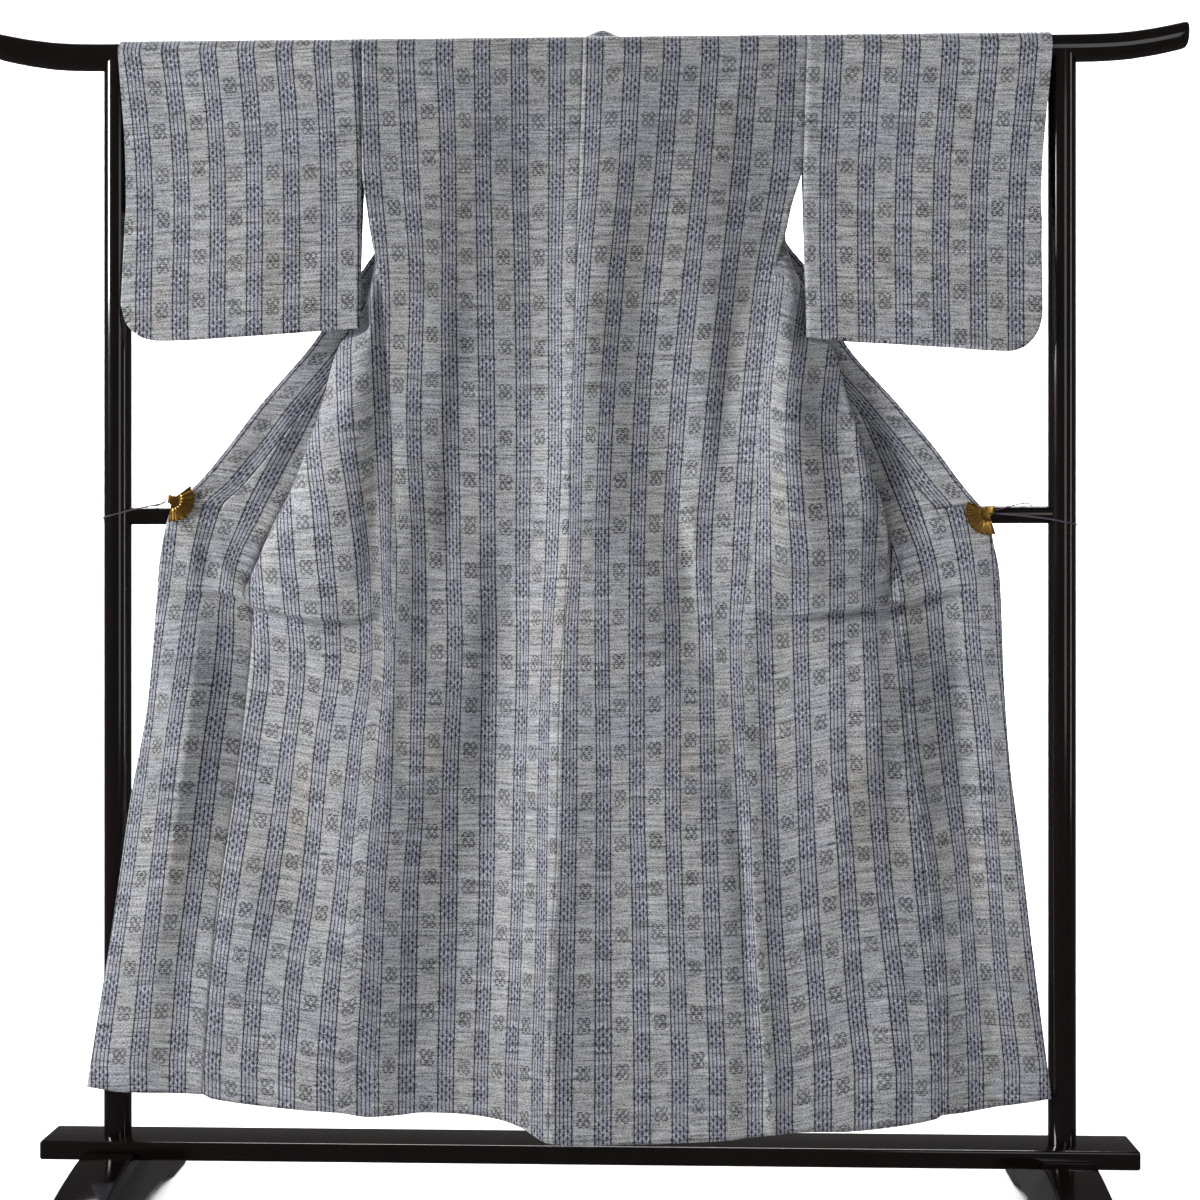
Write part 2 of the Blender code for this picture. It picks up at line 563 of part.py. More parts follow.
def lay_body(cloth, half):
    """Back, front and the cloth over the rail."""
    piece = "body_" + half.name
    flip = half.sign < 0
    back = []
    front = []
    for row in range(RAIL_ROW + 1):
        for part, columns, rows in (("back", BACK_COLUMNS, back), ("front", NECK_COLUMN, front)):
            keys = [part_key(half, part, column, row) for column in range(columns + 1)]
            for column, key in enumerate(keys):
                cloth.put(key, surface_point(half, part, column, row))
            rows.append(keys)
    cloth.grid(piece, "back", back, not flip)
    cloth.grid(piece, "front", front, flip)
    radius = OVER_RAIL
    arc = [back[-1]]
    for step in range(1, ARC_STEPS):
        angle = math.pi * (1 - step / ARC_STEPS)
        last = BACK_COLUMNS if step <= ARC_STEPS // 2 else NECK_COLUMN
        keys = []
        for column in range(last + 1):
            near = cloth.points[back[-1][column]]
            far = cloth.points[front[-1][min(column, NECK_COLUMN)]]
            share = step / ARC_STEPS if column <= NECK_COLUMN else 0.0
            point = Vector((
                near.x + (far.x - near.x) * share,
                radius * math.cos(angle), RAIL_Z + radius * math.sin(angle),
            ))
            key = ("centre", "arc", step) if column == BACK_COLUMNS else (half.name, "arc", column, step)
            keys.append(cloth.put(key, point))
        arc.append(keys)
    arc.append(front[-1])
    cloth.grid(piece, "shoulder", arc, not flip)
    half.arc = arc
    half.back_keys = back
    half.front_keys = front
    for row in range(RAIL_ROW + 1):
        cloth.seams.add(back[row][BACK_COLUMNS])
        cloth.seams.add(front[row][NECK_COLUMN])
        if row <= SIDE_ROW:
            cloth.seams.add(back[row][0])
        if row >= FOOT_ROW:
            cloth.seams.add(back[row][0])
            cloth.seams.add(front[row][0])
    for step in range(1, ARC_STEPS):
        cloth.seams.add(arc[step][0])
        if step >= ARC_STEPS // 2:
            cloth.seams.add(arc[step][NECK_COLUMN])
        if step < ARC_STEPS // 2:
            cloth.seams.add(arc[step][BACK_COLUMNS])
    cloth.seams.update(arc[ARC_STEPS // 2][NECK_COLUMN:])
    cloth.seam_ends.add(back[SIDE_ROW][0])


def lay_overlap(cloth, half):
    """The overlap panel: full width below the collar's end, a pointed gusset above it."""
    piece = "okumi_" + half.name
    flip = half.sign < 0
    inner = []
    for row in range(TIP_ROW + 1):
        keys = [part_key(half, "gusset", column, row) for column in range(GUSSET_COLUMNS + 1)]
        for column, key in enumerate(keys):
            cloth.put(key, half.row_point("gusset", column, row) if row <= SIDE_ROW else
                      cloth.points[keys[0]])
        inner.append(keys)
        cloth.seams.add(keys[-1]) if row >= COLLAR_ROW else None
    cloth.grid(piece, "inner", inner, flip)
    outer = []
    for row in range(COLLAR_ROW + 1):
        keys = [part_key(half, "line", column, row) for column in range(BAND_COLUMNS + 1)]
        for column, key in enumerate(keys):
            cloth.put(key, half.row_point("line", column, row))
        outer.append(keys)
    cloth.seams.update(outer[-1])
    cloth.grid(piece, "inner", outer, flip)


def band_row(cloth, half, row):
    """The collar's keys across its width on a row of the front."""
    keys = [part_key(half, "line", column, row) for column in range(BAND_COLUMNS + 1)]
    for column, key in enumerate(keys):
        cloth.put(key, surface_point(half, "line", column, row))
    return keys


def neck_keys(cloth, half, share, seam_key, lift, label):
    """The collar's keys across its width round the neck."""
    seam = cloth.points[seam_key]
    keys = [seam_key]
    for k in range(BAND_COLUMNS):
        y = read(NECK_BAND, share, 1 + 2 * k)
        z = read(NECK_BAND, share, 2 + 2 * k)
        narrow = 1 - 0.05 * (k + 1) * share
        keys.append(cloth.put(
            (label, "neck", k), Vector((seam.x * narrow, y * MM, (z + lift * (1 - k / 3)) * MM)),
        ))
    return keys


def lay_collar(cloth, halves):
    """One strip from clip to clip round the neck."""
    rows = []
    for half in halves:
        up = [band_row(cloth, half, row) for row in range(COLLAR_ROW, RAIL_ROW + 1)]
        top = up[-1]
        corner_row = half.arc[ARC_STEPS // 2]
        corner = neck_keys(cloth, half, 1.0, corner_row[NECK_COLUMN], 0.0, (half.name, NECK_COLUMN))
        for step in range(ARC_STEPS - 1, ARC_STEPS // 2, -1):
            seam_key = half.arc[step][NECK_COLUMN]
            share = (step - ARC_STEPS // 2) / (ARC_STEPS // 2)
            keys = [seam_key]
            for k in range(1, BAND_COLUMNS + 1):
                low, high = cloth.points[corner[k]], cloth.points[top[k]]
                keys.append(cloth.put((half.name, "turn", step, k), low.lerp(high, share)))
            up.append(keys)
        up.append(corner)
        for column in range(NECK_COLUMN + 1, BACK_COLUMNS):
            seam_key = corner_row[column]
            share = (BACK_COLUMNS - column) / (BACK_COLUMNS - NECK_COLUMN)
            up.append(neck_keys(cloth, half, share, seam_key, bump(cloth.points[seam_key].x),
                                (half.name, column)))
        rows.append(up)
    centre_key = ("centre", "arc", ARC_STEPS // 2)
    centre = neck_keys(cloth, None, 0.0, centre_key, bump(cloth.points[centre_key].x), "centre")
    strip = rows[0] + [centre] + rows[1][::-1]
    cloth.grid("collar", "inner", strip, True)


def bump(x):
    """How far the collar stands up over the rail at x, in mm."""
    middle, half_width, height = COLLAR_BUMP
    return height * math.exp(-((x / MM - middle) / half_width) ** 2)


def lay_sleeve(cloth, half, table, hem_table, furi):
    """One sleeve: near layer, far layer, the fold over the rail, closed hem and outer edge."""
    piece = "sleeve_" + half.name
    flip = half.sign < 0
    sign = half.sign
    near = []
    far = []
    levels = [RAIL_Z] + [z for z in reversed(ABOVE) if z >= ARMHOLE_FOOT]
    for index, z in enumerate(levels):
        body_row = RAIL_ROW - index
        near_keys = [half.back_keys[body_row][0]]
        far_keys = [half.front_keys[body_row][0]]
        inner_near = cloth.points[near_keys[0]]
        inner_far = cloth.points[far_keys[0]]
        for column in range(1, SLEEVE_COLUMNS + 1):
            share = sleeve_share(column)
            outer = read(table, z / MM, 1) * MM * sign
            outer_far = read(table, z / MM, 4) * MM * sign
            y = read(table, z / MM, 2) * MM
            y_far = read(table, z / MM, 3) * MM
            ease = min(1.0, share * 4)
            near_point = Vector((inner_near.x + (outer - inner_near.x) * share,
                                 inner_near.y + (y - inner_near.y) * ease, z))
            far_point = Vector((inner_far.x + (outer_far - inner_far.x) * share,
                                inner_far.y + (y_far - inner_far.y) * ease, z))
            near_keys.append(cloth.put((piece, "near", column, index), near_point))
            far_keys.append(cloth.put((piece, "far", column, index), far_point))
        near.append(near_keys)
        far.append(far_keys)
    count = len(levels)
    for step in range(1, SLEEVE_ROWS + 1):
        index = count - 1 + step
        near_keys = []
        far_keys = []
        for column in range(SLEEVE_COLUMNS + 1):
            share = sleeve_share(column)
            low = hem_height(hem_table, furi, share)
            z = ARMHOLE_FOOT / MM + (low - ARMHOLE_FOOT / MM) * step / SLEEVE_ROWS
            inner = read(furi, z)
            outer = read(table, z, 1)
            outer_far = read(table, z, 4)
            x = (inner + (outer - inner) * share) * sign
            x_far = (inner + (outer_far - inner) * share) * sign
            y = read(table, z, 2) + SLEEVE_BILLOW * math.sin(math.pi * share)
            y_far = read(table, z, 3)
            near_keys.append(cloth.put((piece, "near", column, index), Vector((x, y, z)) * MM))
            far_keys.append(cloth.put((piece, "far", column, index), Vector((x_far, y_far, z)) * MM))
        near.append(near_keys)
        far.append(far_keys)
    radius = OVER_RAIL
    arc = [near[0]]
    for step in range(1, ARC_STEPS):
        angle = math.pi * (1 - step / ARC_STEPS)
        keys = [half.arc[step][0]]
        for column in range(1, SLEEVE_COLUMNS + 1):
            low, high = cloth.points[near[0][column]], cloth.points[far[0][column]]
            point = Vector((low.x + (high.x - low.x) * step / ARC_STEPS,
                            radius * math.cos(angle), RAIL_Z + radius * math.sin(angle)))
            keys.append(cloth.put((piece, "arc", column, step), point))
        arc.append(keys)
    arc.append(far[0])
    cloth.grid(piece, "cloth", near, not flip)
    cloth.grid(piece, "cloth", far, flip)
    cloth.grid(piece, "cloth", arc, flip)
    hem = []
    for column in range(SLEEVE_COLUMNS + 1):
        low, high = cloth.points[near[-1][column]], cloth.points[far[-1][column]]
        middle = (low + high) / 2 + Vector((0, 0, -0.0028))
        if column == SLEEVE_COLUMNS:
            middle += Vector((sign * 0.0020, 0, 0.0008))
        hem.append(cloth.put((piece, "hem", column), middle))
    cloth.grid(piece, "cloth", [near[-1], hem, far[-1]], not flip)
    side = []
    rows = [k for k in range(len(near)) if cloth.points[near[k][-1]].z <= CUFF_FOOT]
    for k in rows[:-1]:
        low, high = cloth.points[near[k][-1]], cloth.points[far[k][-1]]
        middle = (low + high) / 2 + Vector((sign * 0.0028, 0, 0))
        side.append(cloth.put((piece, "side", k), middle))
    side.append(hem[-1])
    near_edge = [near[k][-1] for k in rows]
    far_edge = [far[k][-1] for k in rows]
    cloth.grid(piece, "cloth", [near_edge, side, far_edge], flip)


SLEEVE_BILLOW = -3.0


def sleeve_share(column):
    """Columns across the sleeve, closer together at the rounded outer corner."""
    corner = 4
    share_of_corner = 0.14
    plain = SLEEVE_COLUMNS - corner
    if column <= plain:
        return (1 - share_of_corner) * column / plain
    turn = (column - plain) / corner
    return 1 - share_of_corner * (1 - math.sin(turn * math.pi / 2)) if turn < 1 else 1.0


def hem_height(hem_table, furi, share):
    """Height of the sleeve's hem at a share of its width."""
    inner = hem_table[0][0]
    outer = hem_table[-1][0]
    return read(hem_table, inner + (outer - inner) * share)


# ---- the stand ----

def ring(centre, radius, along, count=ROUND):
    """Points of a circle about an axis letter."""
    points = []
    for k in range(count):
        angle = 2 * math.pi * (k + 0.5) / count
        c, s = radius * math.cos(angle), radius * math.sin(angle)
        if along == "x":
            points.append(Vector((centre[0], centre[1] + c, centre[2] + s)))
        else:
            points.append(Vector((centre[0] + c, centre[1] + s, centre[2])))
    return points


def tube_mesh(rings):
    """Joins rings into a closed tube with flat or strip caps."""
    count = len(rings[0])
    points = [point for loop in rings for point in loop]
    faces = []
    for level in range(len(rings) - 1):
        for k in range(count):
            n = (k + 1) % count
            base, top = level * count, (level + 1) * count
            faces.append((base + k, base + n, top + n, top + k))
    return points, faces, count


def close_flat(faces, start, count, reverse):
    """Closes a flat ring with one face."""
    loop = list(range(start, start + count))
    faces.append(tuple(loop[::-1] if reverse else loop))


def close_strips(faces, start, count, reverse, mirror_of):
    """Closes a bent ring with strips between the points that face each other."""
    done = set()
    for k in range(count):
        n = (k + 1) % count
        corners = frozenset((k, n, mirror_of(k), mirror_of(n)))
        if len(corners) < 3 or corners in done:
            continue
        done.add(corners)
        loop = [start + corner for corner in (k, n, mirror_of(n), mirror_of(k))]
        faces.append(tuple(loop[::-1] if reverse else loop))


def build_top_rail(material):
    """Round rail whose ends sweep upward."""
    rings = []
    stations = [(-x, rise, factor) for x, rise, factor in reversed(RAIL_TABLE[1:])] + list(RAIL_TABLE)
    for x, rise, factor in stations:
        rings.append(ring((x * MM, 0.0, RAIL_Z + rise * MM), RAIL_R * factor, "x"))
    points, faces, count = tube_mesh(rings)
    close_flat(faces, 0, count, True)
    close_flat(faces, len(points) - count, count, False)
    return add_mesh("top_rail", points, faces, material)


def build_post(name, x, material):
    """Round post, hollowed at its top to carry the rail."""
    low = ring((x, 0.0, SILL_Z + SILL[2] + REST_GAP), POST_R, "z")
    seat = RAIL_R + REST_GAP
    high = []
    for point in ring((x, 0.0, 0.0), POST_R, "z"):
        high.append(Vector((point.x, point.y, RAIL_Z - math.sqrt(max(seat ** 2 - point.y ** 2, 0.0)))))
    points, faces, count = tube_mesh([low, high])
    close_flat(faces, 0, count, True)
    close_strips(faces, count, count, False, lambda k: (count // 2 - 1 - k) % count)
    return add_mesh(name, points, faces, material)


def build_mid_rail(material):
    """Thin round rail, its ends hollowed to the posts."""
    seat = POST_R + REST_GAP
    rings = []
    for side in (-1, 1):
        loop = []
        for point in ring((0.0, 0.0, MID_RAIL_Z), MID_RAIL_R, "x"):
            reach = POST_X - math.sqrt(seat ** 2 - point.y ** 2)
            loop.append(Vector((side * reach, point.y, point.z)))
        rings.append(loop)
    points, faces, count = tube_mesh(rings)
    close_strips(faces, 0, count, True, lambda k: (count - 1 - k) % count)
    close_strips(faces, count, count, False, lambda k: (count - 1 - k) % count)
    return add_mesh("mid_rail", points, faces, material)


def add_bevel(item, width, segments=2):
    """Rounds an object's edges."""
    bevel = item.modifiers.new("rounded_edges", "BEVEL")
    bevel.width = width
    bevel.segments = segments
    bevel.limit_method = "ANGLE"
    bevel.angle_limit = math.radians(40)


def build_sill(material):
    """Flat bottom rail with rounded edges."""
    length, depth, height = SILL
    points = []
    for x in (-length / 2, length / 2):
        for y, z in ((-depth / 2, 0), (depth / 2, 0), (depth / 2, height), (-depth / 2, height)):
            points.append(Vector((x, y, SILL_Z + z)))
    faces = [(0, 3, 2, 1), (4, 5, 6, 7), (0, 1, 5, 4), (1, 2, 6, 5), (2, 3, 7, 6), (3, 0, 4, 7)]
    item = add_mesh("bottom_rail", points, faces, material)
    add_bevel(item, SILL_BEVEL)
    return item


def build_foot(name, x, material):
    """Arched foot running front to back, notched for the bottom rail."""
    depth = SILL[1] / 2 + REST_GAP
    seat = SILL_Z - REST_GAP
    half = [(depth, seat)] + [(y * MM, z * MM) for y, z in FOOT_TOP]
    half[1] = (depth, FOOT_TOP[0][1] * MM)
    under = [(y * MM, z * MM) for y, z in FOOT_UNDER]
    outline = half + under
    outline += [(-y, z) for y, z in reversed(under)] + [(-y, z) for y, z in reversed(half)]
    count = len(outline)
    points = [Vector((x - FOOT_WIDTH / 2, y, z)) for y, z in outline]
    points += [Vector((x + FOOT_WIDTH / 2, y, z)) for y, z in outline]
    faces = [tuple(range(count)), tuple(range(2 * count - 1, count - 1, -1))]
    for k in range(count):
        n = (k + 1) % count
        faces.append((k, count + k, count + n, n))
    item = add_mesh(name, points, faces, material)
    return item


# ---- clips and their cords ----

def build_clip(name, place, material):
    """Fan clip: ribbed fan in front of the cloth, plain jaw behind it, hinge bar at the edge."""
    hub_x, hub_z, degrees, bar_x, bar_z = place
    outward = 1.0 if hub_x > 0 else -1.0
    lines = 2 * FAN_RIBS
    start = math.radians(degrees) - FAN_SPREAD / 2
    front = CLIP_FRONT_Y - FAN_PLATE
    points = [Vector((hub_x, front - FAN_RIB, hub_z)), Vector((hub_x, CLIP_FRONT_Y, hub_z))]
    for k in range(lines + 1):
        angle = start + FAN_SPREAD * k / lines
        raised = k % 2 == 0
        reach = FAN_R * (1.0 if raised else 0.955)
        for radius, extra in ((FAN_HUB_R, FAN_RIB), (reach, FAN_RIB if raised else 0.0)):
            x = hub_x + radius * math.cos(angle)
            z = hub_z + radius * math.sin(angle)
            points.append(Vector((x, front - extra, z)))
            points.append(Vector((x, CLIP_FRONT_Y, z)))
    faces = []
    for k in range(lines):
        a, b = 2 + 4 * k, 2 + 4 * (k + 1)
        faces += [(0, a, b), (1, b + 1, a + 1), (a, a + 2, b + 2, b)]
        faces += [(a + 1, b + 1, b + 3, a + 3), (a + 2, a + 3, b + 3, b + 2)]
    first, last = 2, 2 + 4 * lines
    faces += [(0, 1, first + 1, first), (first, first + 1, first + 3, first + 2)]
    faces += [(0, last, last + 1, 1), (last, last + 2, last + 3, last + 1)]
    item = add_mesh(name, points, faces, material)
    half_width, half_depth, height = BAR
    middle = (front + CLIP_BACK_Y + JAW[1]) / 2
    rings = []
    for z in (bar_z - height / 2, bar_z + height / 2):
        ring_points = []
        for k in range(12):
            angle = 2 * math.pi * (k + 0.5) / 12
            ring_points.append(Vector((bar_x + half_width * math.cos(angle),
                                       middle + half_depth * math.sin(angle), z)))
        rings.append(ring_points)
    bar_points, bar_faces, count = tube_mesh(rings)
    close_flat(bar_faces, 0, count, True)
    close_flat(bar_faces, count, count, False)
    bar = add_mesh(name + "_bar", bar_points, bar_faces, material)
    jaw = box_mesh(name + "_jaw", (bar_x + outward * 0.0008, bar_x - outward * JAW[0]),
                   (CLIP_BACK_Y, CLIP_BACK_Y + JAW[1]), (bar_z - JAW[2] / 2, bar_z + JAW[2] * 0.3),
                   material)
    neck = box_mesh(name + "_neck", (hub_x - outward * 0.006, bar_x),
                    (front + 0.0003, CLIP_FRONT_Y - 0.0003), (bar_z - 0.0055, bar_z + 0.0045), material)
    for tool in (neck, bar, jaw):
        join(item, tool)
    return item


def box_mesh(name, xs, ys, zs, material):
    """A plain box that is later joined to another solid."""
    xs, ys, zs = sorted(xs), sorted(ys), sorted(zs)
    points = [Vector((x, y, z)) for x in xs for y in ys for z in zs]
    faces = [(0, 1, 3, 2), (4, 6, 7, 5), (0, 4, 5, 1), (2, 3, 7, 6), (0, 2, 6, 4), (1, 5, 7, 3)]
    return add_mesh(name, points, faces, material)


def join(item, tool):
    """Adds a tool solid to an object and hides the tool."""
    union = item.modifiers.new("with_" + tool.name, "BOOLEAN")
    union.operation = "UNION"
    union.solver = "EXACT"
    union.object = tool
    tool.hide_render = True
    tool.display_type = "WIRE"


def build_cord(name, place, drop, material):
    """A thin cord from the clip's bar, round its post and over the middle rail back to the bar."""
    bar_x, bar_z = place[3], place[4]
    outward = 1.0 if bar_x > 0 else -1.0
    middle = (CLIP_FRONT_Y - FAN_PLATE + CLIP_BACK_Y + JAW[1]) / 2
    start_x = bar_x + outward * (BAR[0] + CORD_R + 0.0004)
    start_z = bar_z - BAR[2] / 2 + 0.0015
    reach = POST_R + CORD_R + 0.0006
    post_z = start_z - drop
    over = MID_RAIL_Z + MID_RAIL_R + CORD_R + 0.0010
    path = [(start_x, middle - 0.0012, start_z),
            (outward * (POST_X - 0.030), -reach, start_z + (post_z - start_z) * 0.44)]
    for k in range(9):
        angle = math.radians(-90 + k * 180 / 8)
        z = start_z + (post_z - start_z) * (0.80 + 0.20 * math.sin(math.radians(k * 22.5)))
        path.append((outward * (POST_X + reach * math.cos(angle)), reach * math.sin(angle), z))
    path.append((outward * (POST_X - 0.026), 0.0190, (post_z + over) / 2 + 0.0035))
    path.append((outward * (POST_X - 0.044), 0.0070, over + 0.0005))
    path.append((outward * (POST_X - 0.060), -0.0060, over + 0.0005))
    path.append((start_x + outward * 0.0006, middle + 0.0022, bar_z - 0.0005))
    curve = bpy.data.curves.new(name, "CURVE")
    curve.dimensions = "3D"
    curve.bevel_depth = CORD_R
    curve.bevel_resolution = 2
    curve.use_fill_caps = True
    spline = curve.splines.new("POLY")
    spline.points.add(len(path) - 1)
    for point, place_now in zip(spline.points, path):
        point.co = (*place_now, 1.0)
    item = bpy.data.objects.new(name, curve)
    bpy.context.collection.objects.link(item)
    curve.materials.append(material)
    return item


def main():
    """Builds every piece."""
    start_clean()
    lacquer = (0.012, 0.009, 0.009)
    left = Half("left", -1, SIDE_LEFT, BACK_LEFT, FRONT_LEFT, EDGE_LEFT)
    right = Half("right", 1, SIDE_RIGHT, BACK_RIGHT, FRONT_RIGHT, EDGE_RIGHT)
    cloth = Cloth()
    for half in (left, right):
        lay_body(cloth, half)
        lay_overlap(cloth, half)
    lay_collar(cloth, (left, right))
    lay_sleeve(cloth, left, SLEEVE_LEFT, SLEEVE_HEM_LEFT, FURI_LEFT)
    lay_sleeve(cloth, right, SLEEVE_RIGHT, SLEEVE_HEM_RIGHT, FURI_RIGHT)
    normals = cloth.normals()
    tones = {
        "body_left": (0.50, 0.51, 0.53), "body_right": (0.47, 0.48, 0.50),
        "okumi_left": (0.55, 0.55, 0.57), "okumi_right": (0.55, 0.55, 0.57),
        "collar": (0.42, 0.43, 0.46), "sleeve_left": (0.52, 0.52, 0.55),
        "sleeve_right": (0.52, 0.52, 0.55),
    }
    for piece, tone in tones.items():
        wall = COLLAR_WALL if piece == "collar" else CLOTH
        cloth.solid(piece, wall, make_material(piece, tone, 0.8), normals)
    build_top_rail(make_material("top_rail", lacquer, 0.15))
    build_post("post_left", -POST_X, make_material("post_left", lacquer, 0.15))
    build_post("post_right", POST_X, make_material("post_right", lacquer, 0.15))
    build_mid_rail(make_material("mid_rail", lacquer, 0.15))
    build_sill(make_material("bottom_rail", lacquer, 0.15))
    build_foot("foot_left", -POST_X, make_material("foot_left", lacquer, 0.15))
    build_foot("foot_right", POST_X, make_material("foot_right", lacquer, 0.15))
    build_clip("clip_left", CLIP_LEFT, make_material("clip_left", (0.62, 0.42, 0.12), 0.3, 1.0))
    build_clip("clip_right", CLIP_RIGHT, make_material("clip_right", (0.62, 0.42, 0.12), 0.3, 1.0))
    build_cord("clip_cord_left", CLIP_LEFT, 0.0215,
               make_material("clip_cord_left", (0.045, 0.02, 0.09), 0.7))
    build_cord("clip_cord_right", CLIP_RIGHT, 0.0158,
               make_material("clip_cord_right", (0.045, 0.02, 0.09), 0.7))


main()
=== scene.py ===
"""Woven silk kimono hung by its back on a black lacquered stand, its fronts held out by fan clips.

Metres, +Z up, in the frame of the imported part: the back of the garment faces -Y, the stand is
centred on X = 0 and Y = 0 and its feet rest on Z = 0. Tables are in millimetres; x in a table
of one half is counted outward from the middle.
"""
import logging
import math
from collections.abc import Callable, Iterator
from contextlib import contextmanager
from dataclasses import dataclass, field
from enum import Enum

import bmesh
import bpy
import numpy as np
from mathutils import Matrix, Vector


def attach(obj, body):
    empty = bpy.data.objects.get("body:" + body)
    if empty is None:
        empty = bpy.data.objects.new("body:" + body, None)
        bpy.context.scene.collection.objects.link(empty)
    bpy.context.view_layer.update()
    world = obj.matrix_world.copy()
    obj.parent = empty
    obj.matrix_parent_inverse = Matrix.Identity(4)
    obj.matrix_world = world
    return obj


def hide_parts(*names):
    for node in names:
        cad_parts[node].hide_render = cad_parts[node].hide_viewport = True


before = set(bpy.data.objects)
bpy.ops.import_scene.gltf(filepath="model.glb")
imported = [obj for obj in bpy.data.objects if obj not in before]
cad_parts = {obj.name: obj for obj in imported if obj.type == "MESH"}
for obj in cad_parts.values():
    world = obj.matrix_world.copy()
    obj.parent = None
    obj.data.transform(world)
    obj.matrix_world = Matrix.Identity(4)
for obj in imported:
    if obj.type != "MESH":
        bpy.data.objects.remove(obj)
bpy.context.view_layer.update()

logging.basicConfig(level=logging.INFO, format="%(message)s")
LOG = logging.getLogger("kimono")

MM = 0.001
Row = tuple[float, ...]
Place = tuple[float, float, float]

# ---- sizes of the cloth, in metres ----
SHELL = 0.0009            # thickness of the silk as it is drawn here
COLLAR_SHELL = 0.0013     # the collar is folded double
OVER_RAIL = 0.0219        # the cloth's middle surface over the rail's centre line
RAIL_Z = 1.665
SIDE_TOP = 1.353          # top of the side seam
ARMHOLE_FOOT = 1.497      # where body and sleeve part
CUFF_FOOT = 1.440         # lower end of the cuff opening
LIP = 0.0105              # how far the waist tuck's lip stands out
WOOD_GAP = 0.0004         # between two wooden pieces
COLUMN_SPLIT = 5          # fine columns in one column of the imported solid
SKIRT_SPLIT = 8           # fine rows in one of its rows below the waist tuck
UNDER_TUCK_SPLIT = 20     # the same in the row under the tuck, whose lip turns sharply
OVER_TUCK_SPLIT = 7       # the same in the two rows over the tuck
ABOVE_SPLIT = 5           # the same higher up
SEAM_DEPTH = 0.0007       # how far a sewn edge sinks
SEAM_GAP = 0.0003         # how far a sleeve's edge stays clear of the body
ARMHOLE_GROOVE = 0.0006
SIDE_GROOVE = 0.0008
FRONT_SHIFT = 0.48        # along the cloth, from the shoulder's count to the front's below the tuck
OVERLAP_SHIFT = 0.31      # along the overlap's own length of cloth, so its figures sit apart
BAND_PERIOD = 0.0547      # from one striped band to the next

# Top rail: x, rise of the centre line, radius factor.
RAIL_TABLE = (
    (0, 0.0, 1.0), (640, 0.0, 1.0), (700, 0.2, 1.0), (735, 1.0, 1.0), (770, 3.4, 1.0),
    (800, 7.6, 0.99), (826, 12.6, 0.98), (843, 16.4, 0.97), (848, 17.6, 0.92), (850, 18.1, 0.80),
)
RAIL_EXTRA_CUTS = (720, 752, 812, 835, 846.5)     # further rings of points along each end
# Foot seen from the side: y, z of the upper outline, centre to toe.
FOOT_TOP = ((42, 99), (90, 93), (150, 82), (200, 68), (236, 48), (250, 30), (253, 16), (250, 3))
# Foot: y, z of the underside, toe to centre.
FOOT_UNDER = ((246, 0), (172, 0), (163, 5), (152, 6.5), (148, 11), (120, 14), (60, 16))

# Centre back seam: z, x, y.
CENTRE = (
    (1665, -3, -21.9), (1600, -5, -22.4), (1520, -7.5, -26), (1377, -11.5, -32),
    (1250, -14, -38), (1094, -19.5, -44), (1023, -20.5, -48), (883, -26, -50),
    (743, -34.5, -52), (532, -38.5, -54), (392, -45.5, -55), (252, -48, -56), (110, -49.5, -58),
)
# Side seam: z, x and y of the back's edge, x and y of the front's edge.
SIDE_LEFT = (
    (1665, 318.5, -21.9, 318.5, 21.9), (1600, 318, -22, 317, 21), (1497, 318, -24, 313, 12),
    (1440, 311, -24, 308, 0), (1388, 303, -24, 302, -13), (1353, 295, -26, 295, -26),
    (1250, 285, -33, 285, -33), (1138, 274.5, -39, 274.5, -39), (1024, 268, -43, 268, -43),
    (883, 266.5, -46, 266.5, -46), (770, 272, -46, 272, -46), (686, 277.5, -46, 277.5, -46),
    (558, 289, -46, 289, -46), (432, 291.5, -47, 291.5, -47), (319, 294.5, -48, 294.5, -48),
    (110, 302.5, -50, 302.5, -50),
)
SIDE_RIGHT = (
    (1665, 313.5, -21.9, 313.5, 21.9), (1600, 311, -22, 310.5, 21), (1497, 307.5, -24, 301, 12),
    (1440, 292, -24, 290, 0), (1398, 282.5, -24, 279, -12), (1353, 268, -26, 268, -26),
    (1249, 254, -33, 254, -33), (1108, 246, -40, 246, -40), (1023, 238, -43, 238, -43),
    (939, 235, -45, 235, -45), (883, 225.5, -46, 225.5, -46), (659, 225, -46, 225, -46),
    (603, 232, -46, 232, -46), (435, 239, -47, 239, -47), (267, 250, -48, 250, -48),
    (110, 267, -50, 267, -50),
)
